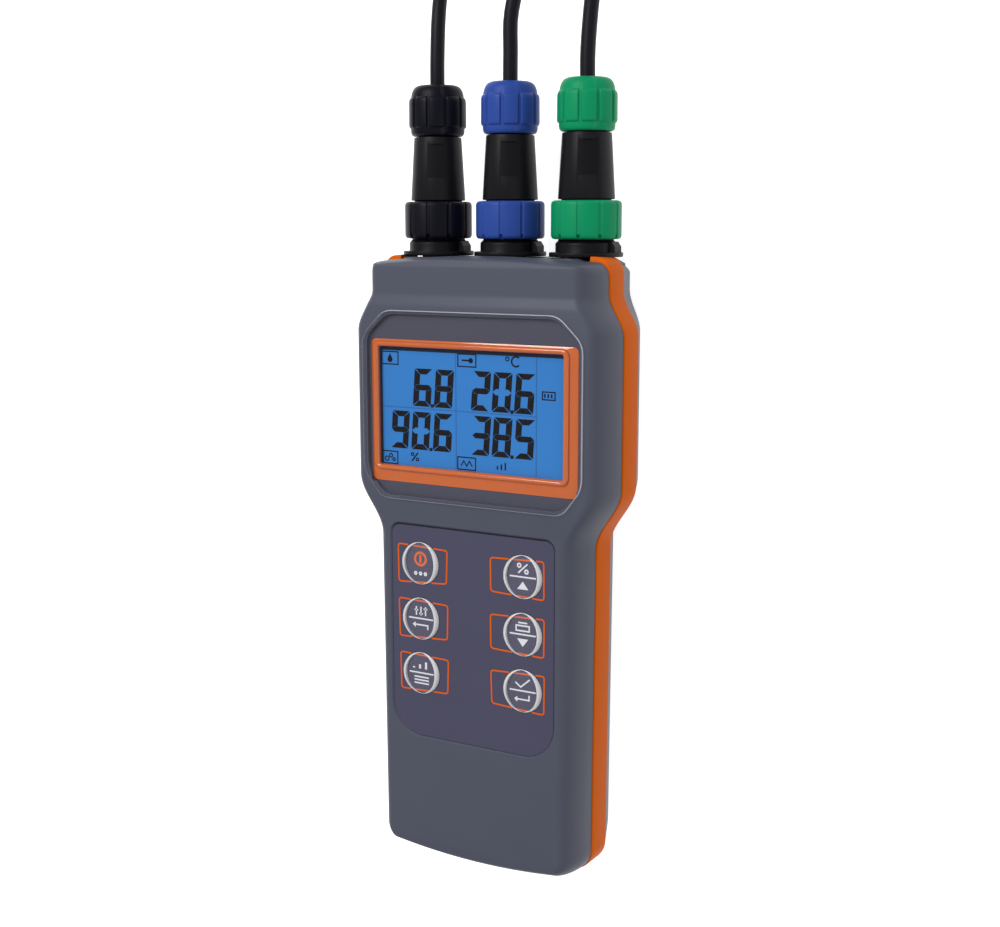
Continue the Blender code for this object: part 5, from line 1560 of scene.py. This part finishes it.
# The sensing ends, as radius and height over the shaft's end: glass bulb, ringed stem and membrane cap
TIP_ROOT = -0.0005
TIP_EDGE = 0.0006
BULB_RADIUS = 0.0034
BULB_RISE = BULB_RADIUS * 0.5
BULB_STEPS = 20
BULB_STEP = 7.5
STEM_SECTION = ((0.0, 0.0060), (0.0030, 0.0060), (0.0030, TIP_ROOT), (0.0, TIP_ROOT))
BAND_COUNT = 3
BAND_STEP = 0.0019
BAND_START = 0.0006
BAND_SECTION = ((0.0024, 0.0), (0.0032, 0.0), (0.0033, 0.0002), (0.0033, 0.0006), (0.0032, 0.0008),
                (0.0024, 0.0008))
MEMBRANE_SECTION = ((0.0, 0.0052), (0.0020, 0.0050), (0.0034, 0.0042), (0.0036, TIP_ROOT), (0.0, TIP_ROOT))


def on_probe(side):
    spot = (SIDE_X[side] * PROBE_COLUMN, PROBE_START_Y, FLOOR_GAP + PROBE_CAP_RADIUS)
    return Matrix.Translation(spot) @ TOWARD_Y


def make_cap():
    """The probe's handle: a ribbed grip with plain rounded ends."""
    low, high = CAP_RIB_SPAN
    rows = [(height, inset, inset) for height, inset in CAP_FOOT] + [(low, 0.0, 0.0)]
    rows += [(height, CAP_RIB_DEPTH, 0.0) for height in (low + CAP_RIB_DEPTH, high - CAP_RIB_DEPTH)]
    rows += [(high, 0.0, 0.0)] + [(PROBE_CAP - drop, inset, inset) for drop, inset in CAP_HEAD]
    rings = [padded_ring(PROBE_CAP_RADIUS - groove, PROBE_CAP_RADIUS - rib, CAP_RIBS, CAP_RIB_LAND, height)
             for height, groove, rib in rows]
    return filled(rings)


def make_sleeve():
    """The sleeve the cable comes out of, slimmer from one relief ring to the next."""
    points = [(0.0, SLEEVE_ROOT), (PROBE_SLEEVE_RADIUS, SLEEVE_ROOT), (PROBE_SLEEVE_RADIUS, -SLEEVE_COLLAR)]
    step = (PROBE_SLEEVE - SLEEVE_COLLAR) / SLEEVE_RINGS
    for i in range(SLEEVE_RINGS):
        share = (i + 0.5) / SLEEVE_RINGS
        radius = PROBE_SLEEVE_RADIUS + (PROBE_SLEEVE_END_RADIUS - PROBE_SLEEVE_RADIUS) * share
        top = -SLEEVE_COLLAR - step * i
        points += [(radius - depth, top - drop) for drop, depth in SLEEVE_GROOVE + ((step, 0.0),)]
    points.append((0.0, points[-1][1]))
    return turned(rounded_profile(points, SLEEVE_EDGE, 2), ROUND_SMALL)


def make_shaft(end, spigot_end):
    profile = [(0.0, spigot_end), (PROBE_SPIGOT_RADIUS, spigot_end), (PROBE_SPIGOT_RADIUS, end),
               (PROBE_SHAFT_RADIUS, end)]
    profile += [(PROBE_SHAFT_RADIUS - depth, PROBE_CAP + height) for height, depth in SHAFT_GROOVE]
    profile += [(PROBE_SHAFT_RADIUS, PROBE_CAP - SHAFT_ROOT), (0.0, PROBE_CAP - SHAFT_ROOT)]
    return turned(rounded_profile(profile, SHAFT_EDGE, 2), PROBE_TURNS)


def turned_ring(section):
    """A round piece with an open bore, from a closed section of (radius, height) points."""
    return swept([round_ring(radius, height, PROBE_TURNS) for radius, height in section], loop=True)


def make_guard(start):
    """The slotted guard round the sensing end."""
    end = start + PROBE_TIP
    bore = PROBE_SPIGOT_RADIUS + GAP
    tube = ((bore, end), (PROBE_TIP_END_RADIUS - GUARD_MOUTH[0], end),
            (PROBE_TIP_END_RADIUS, end - GUARD_MOUTH[1]),
            (PROBE_CAP_RADIUS - GUARD_SHOULDER[0], end - PROBE_EDGE + GUARD_SHOULDER[1]),
            (PROBE_CAP_RADIUS, end - PROBE_EDGE - GUARD_EDGE), (PROBE_CAP_RADIUS, start + GUARD_EDGE),
            (PROBE_CAP_RADIUS - GUARD_EDGE, start), (bore, start))
    span = (start + GUARD_SLOT_SPAN[0], start + GUARD_SLOT_SPAN[1])
    outline = rounded_outline(GUARD_SLOT_HALF, span, GUARD_SLOT_CORNER, points=7)
    pairs = GUARD_SLOTS // 2
    slots = []
    for i in range(pairs):
        across = [[(x, y, h) for x, h in outline] for y in (-GUARD_SLOT_REACH, GUARD_SLOT_REACH)]
        turn = Matrix.Rotation(math.pi * i / pairs, 4, "Z")
        slots.append(cut(moved(filled(across), turn)))
    return carved(turned_ring(tube), slots)


def sensing_end(side, base):
    """The parts at the tip of each kind of probe, as (name, shape, what it is made of)."""
    if side == "left":
        middle = base + BULB_RISE
        turns = [math.radians(BULB_STEP * k) for k in range(1, BULB_STEPS + 1)]
        bulb = [(0.0, middle + BULB_RADIUS)]
        bulb += [(BULB_RADIUS * math.sin(a), middle + BULB_RADIUS * math.cos(a)) for a in turns]
        bulb += [(bulb[-1][0], base + TIP_ROOT), (0.0, base + TIP_ROOT)]
        return [("probe_bulb_left", turned(bulb, ROUND_MIDDLE), "glass")]
    if side == "right":
        section = rounded_profile([(r, base + h) for r, h in MEMBRANE_SECTION], TIP_EDGE, 3)
        return [("probe_membrane_right", turned(section, ROUND_MIDDLE), "metal")]
    section = rounded_profile([(r, base + h) for r, h in STEM_SECTION], TIP_EDGE, 3)
    parts = [("probe_stem_middle", turned(section, ROUND_SMALL), "black")]
    for i in range(BAND_COUNT):
        low = base + BAND_START + BAND_STEP * i
        shape = turned_ring([(r, low + h) for r, h in BAND_SECTION])
        parts.append(("probe_band_middle_%d" % (i + 1), shape, "metal"))
    return parts


def make_probe(side, black, metal, glass, colour):
    """One probe with its handle, shaft, guard and sensing end; gives the pieces that hang on the cable."""
    shaft_end = PROBE_CAP + PROBE_SHAFT
    spigot_end = shaft_end + PROBE_TIP / 2.0
    here = on_probe(side)
    ride = "plug_" + side
    body = joined(make_cap(), make_sleeve(), make_shaft(shaft_end, spigot_end))
    made = []
    for part, shape, surface in (("body", body, black), ("guard", make_guard(shaft_end + GAP), colour)):
        made.append(add_fine("probe_" + part, moved(shape, here), surface, "probe_" + part, ride, side))
    looks = {"black": (black, "probe_body"), "metal": (metal, "contact_metal"),
             "glass": (glass, "window_clear")}
    for name, shape, stuff in sensing_end(side, spigot_end):
        surface, slot = looks[stuff]
        made.append(add_piece(name, moved(shape, here), surface, ride, slot=slot))
    return made


# The cells' sleeve: where its copper end starts, and over what length it changes
COPPER = (186, 128, 74)
COPPER_START = 0.030
COPPER_EDGE = 0.0001


def cell_wrap():
    """A printed metal sleeve: dark over most of its length, with a copper-coloured end."""
    made = finish("cell_wrap", (44, 46, 52), 0.32, mottle=0.03, grain=0.05, Metallic=0.35)
    tree = made.node_tree
    place = add_node(tree, "SeparateXYZ", Vector=add_node(tree, "TexCoord")["Object"])["Y"]
    edge = BOTTOM_END_Y + CELL_SPAN[0] + COPPER_START
    share = add_node(tree, "MapRange", Value=place, From_Min=edge, From_Max=edge + COPPER_EDGE)["Result"]
    colour = tree.nodes["Principled BSDF"].inputs["Base Color"]
    feed(tree, colour, blend(tree, share, colour.links[0].from_socket, linear(COPPER)))
    return made


# Finishes
case_moulded = finish("case_moulded", CASE_GREY, 0.46, mottle=0.04, grain=0.35, wear_and_sheen=0.02,
                      Specular_IOR_Level=0.25)
band_moulded = finish("band_moulded", ORANGE, 0.42, mottle=0.04, grain=0.18, Specular_IOR_Level=0.04)
bezel_gloss = finish("bezel_gloss", (212, 97, 2), 0.30, mottle=0.03, grain=0.03, Specular_IOR_Level=0.05,
                     Coat_Weight=1.0, Coat_Roughness=0.07, Coat_IOR=1.8)
# Dark navy that paints the shade on the opening's walls and the shadow along the display's top
painted_shade_dark = finish("painted_shade_dark", (18, 26, 50), 0.60, mottle=0.05, grain=0.10, Specular_IOR_Level=0.1)
print_matt = finish("print_matt", PRINT_GREY, 0.50, mottle=0.03, grain=0.15, Specular_IOR_Level=0.2)
lens_acrylic = finish("lens_acrylic", (240, 243, 250), 0.03, mottle=0.01, gloss=0.01, grain=0.0, Metallic=1.0,
                      Alpha=0.016)
display_glow = finish("display_glow", DISPLAY_BLUE, 0.30, mottle=0.05, mottle_scale=45.0, grain=0.04,
                      Emission_Color=linear(DISPLAY_BLUE), Emission_Strength=0.14, Specular_IOR_Level=0.1)
segment_ink = finish("segment_ink", SEGMENT_DARK, 0.60, mottle=0.06, grain=0.05, Specular_IOR_Level=0.05)
divider_ink = finish("divider_ink", (52, 104, 172), 0.60, mottle=0.06, grain=0.05, Specular_IOR_Level=0.1)
film_matt, key_core = (finish(name, colour, 0.42, mottle=0.04, grain=0.30, grain_scale=4200.0,
                              grain_depth=0.00003, Specular_IOR_Level=0.2)
                       for name, colour in (("film_matt", FILM_DARK), ("key_core", KEY_DARK)))
dome_clear = finish("dome_clear", (240, 241, 248), 0.10, mottle=0.01, gloss=0.03, grain=0.02, Alpha=0.04)
# Near-opaque white that paints the highlight on the key domes' rims
rim_painted_highlight = finish("rim_painted_highlight", (252, 251, 253), 0.16, mottle=0.03, gloss=0.05, grain=0.04, Alpha=0.66)
# Pale grey that paints the highlight along the window's edge
lens_edge_highlight = finish("lens_edge_highlight", (196, 197, 208), 0.22, mottle=0.03, grain=0.03, Alpha=0.85)
sign_white = finish("sign_white", (232, 234, 240), 0.55, mottle=0.03, grain=0.05)
sign_orange = finish("sign_orange", (232, 98, 14), 0.50, mottle=0.04, grain=0.05, Specular_IOR_Level=0.05)
black_moulded = finish("black_moulded", BLACK, 0.40, mottle=0.10, grain=0.25, wear_and_sheen=0.02,
                       Specular_IOR_Level=0.14)
ring_finish = {side: finish("plug_moulded_" + side, PLUG_COLOURS[side], 0.38, mottle=0.05, grain=0.22,
                            wear_and_sheen=0.02, Specular_IOR_Level=0.12) for side in SIDES}
cable_pvc = finish("cable_pvc", (20, 19, 27), 0.44, mottle=0.10, grain=0.30, grain_scale=3200.0,
                   Specular_IOR_Level=0.16)
tie_tape = finish("tie_tape", (22, 22, 24), 0.62, mottle=0.10, grain=0.40)
rubber = finish("seal_elastic", (26, 26, 27), 0.75, mottle=0.10, grain=0.40)
steel_plated = finish("steel_plated", (176, 178, 182), 0.30, mottle=0.05, gloss=0.10, grain=0.12,
                      Metallic=1.0)
contact_plated = finish("contact_plated", (205, 200, 188), 0.26, mottle=0.05, gloss=0.08, grain=0.10,
                        Metallic=1.0)
board_resin = finish("board_resin", (24, 84, 48), 0.40, mottle=0.12, mottle_scale=160.0, grain=0.20)
backlight_diffuser = finish("backlight_diffuser", (236, 238, 240), 0.50, mottle=0.02, grain=0.10)
bulb_glass = finish("bulb_glass", (248, 250, 255), 0.05, mottle=0.01, gloss=0.02, grain=0.01,
                    Transmission_Weight=1.0, IOR=1.47)
sleeve_wrap = cell_wrap()

# The picture and the model, piece by piece
make_camera()
for side in SIDES:
    on_cable = make_probe(side, black_moulded, contact_plated, bulb_glass, ring_finish[side])
    on_cable.append(make_tie(side, tie_tape))
    make_cable(side, cable_pvc)
make_studio()
make_front_shell(case_moulded)
make_band(band_moulded)
make_back_shell(case_moulded)
for side in SIDES:
    make_socket(side, black_moulded)
    make_ring(side, ring_finish[side])
    make_plug_body(side, black_moulded)
    make_gland(side, ring_finish[side])
make_panel(case_moulded)
make_display(display_glow, segment_ink, divider_ink)
make_bezel(bezel_gloss)
make_painted_shade(painted_shade_dark)
make_window(lens_acrylic, print_matt, lens_edge_highlight)
make_keypad(film_matt, sign_orange, key_core, dome_clear, rim_painted_highlight, sign_white)
make_door(case_moulded)
make_cells(sleeve_wrap, contact_plated)
for number, (x, y) in enumerate(screw_spots(), start=1):
    make_screw("case_screw_%d" % number, x, y, SCREW_HEAD_Z[0], BAND_TOP, steel_plated, "meter")
make_screw("door_screw", 0.0, DOOR_SCREW_Y, DOOR_SCREW_Z[0], BAY_ROOF_Z - 2.0 * GAP, steel_plated,
           "battery_lid")

# Solids that stay as they are, with finer finishes
KEPT_SURFACES = {"backlight_panel": backlight_diffuser, "main_board": board_resin, "door_seal": rubber,
                 "contact_strip_low": contact_plated, "contact_strip_high": contact_plated}
KEPT_SURFACES.update({"socket_nut_" + side: steel_plated for side in SIDES})
for node, surface in KEPT_SURFACES.items():
    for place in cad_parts[node].material_slots:
        place.material = surface
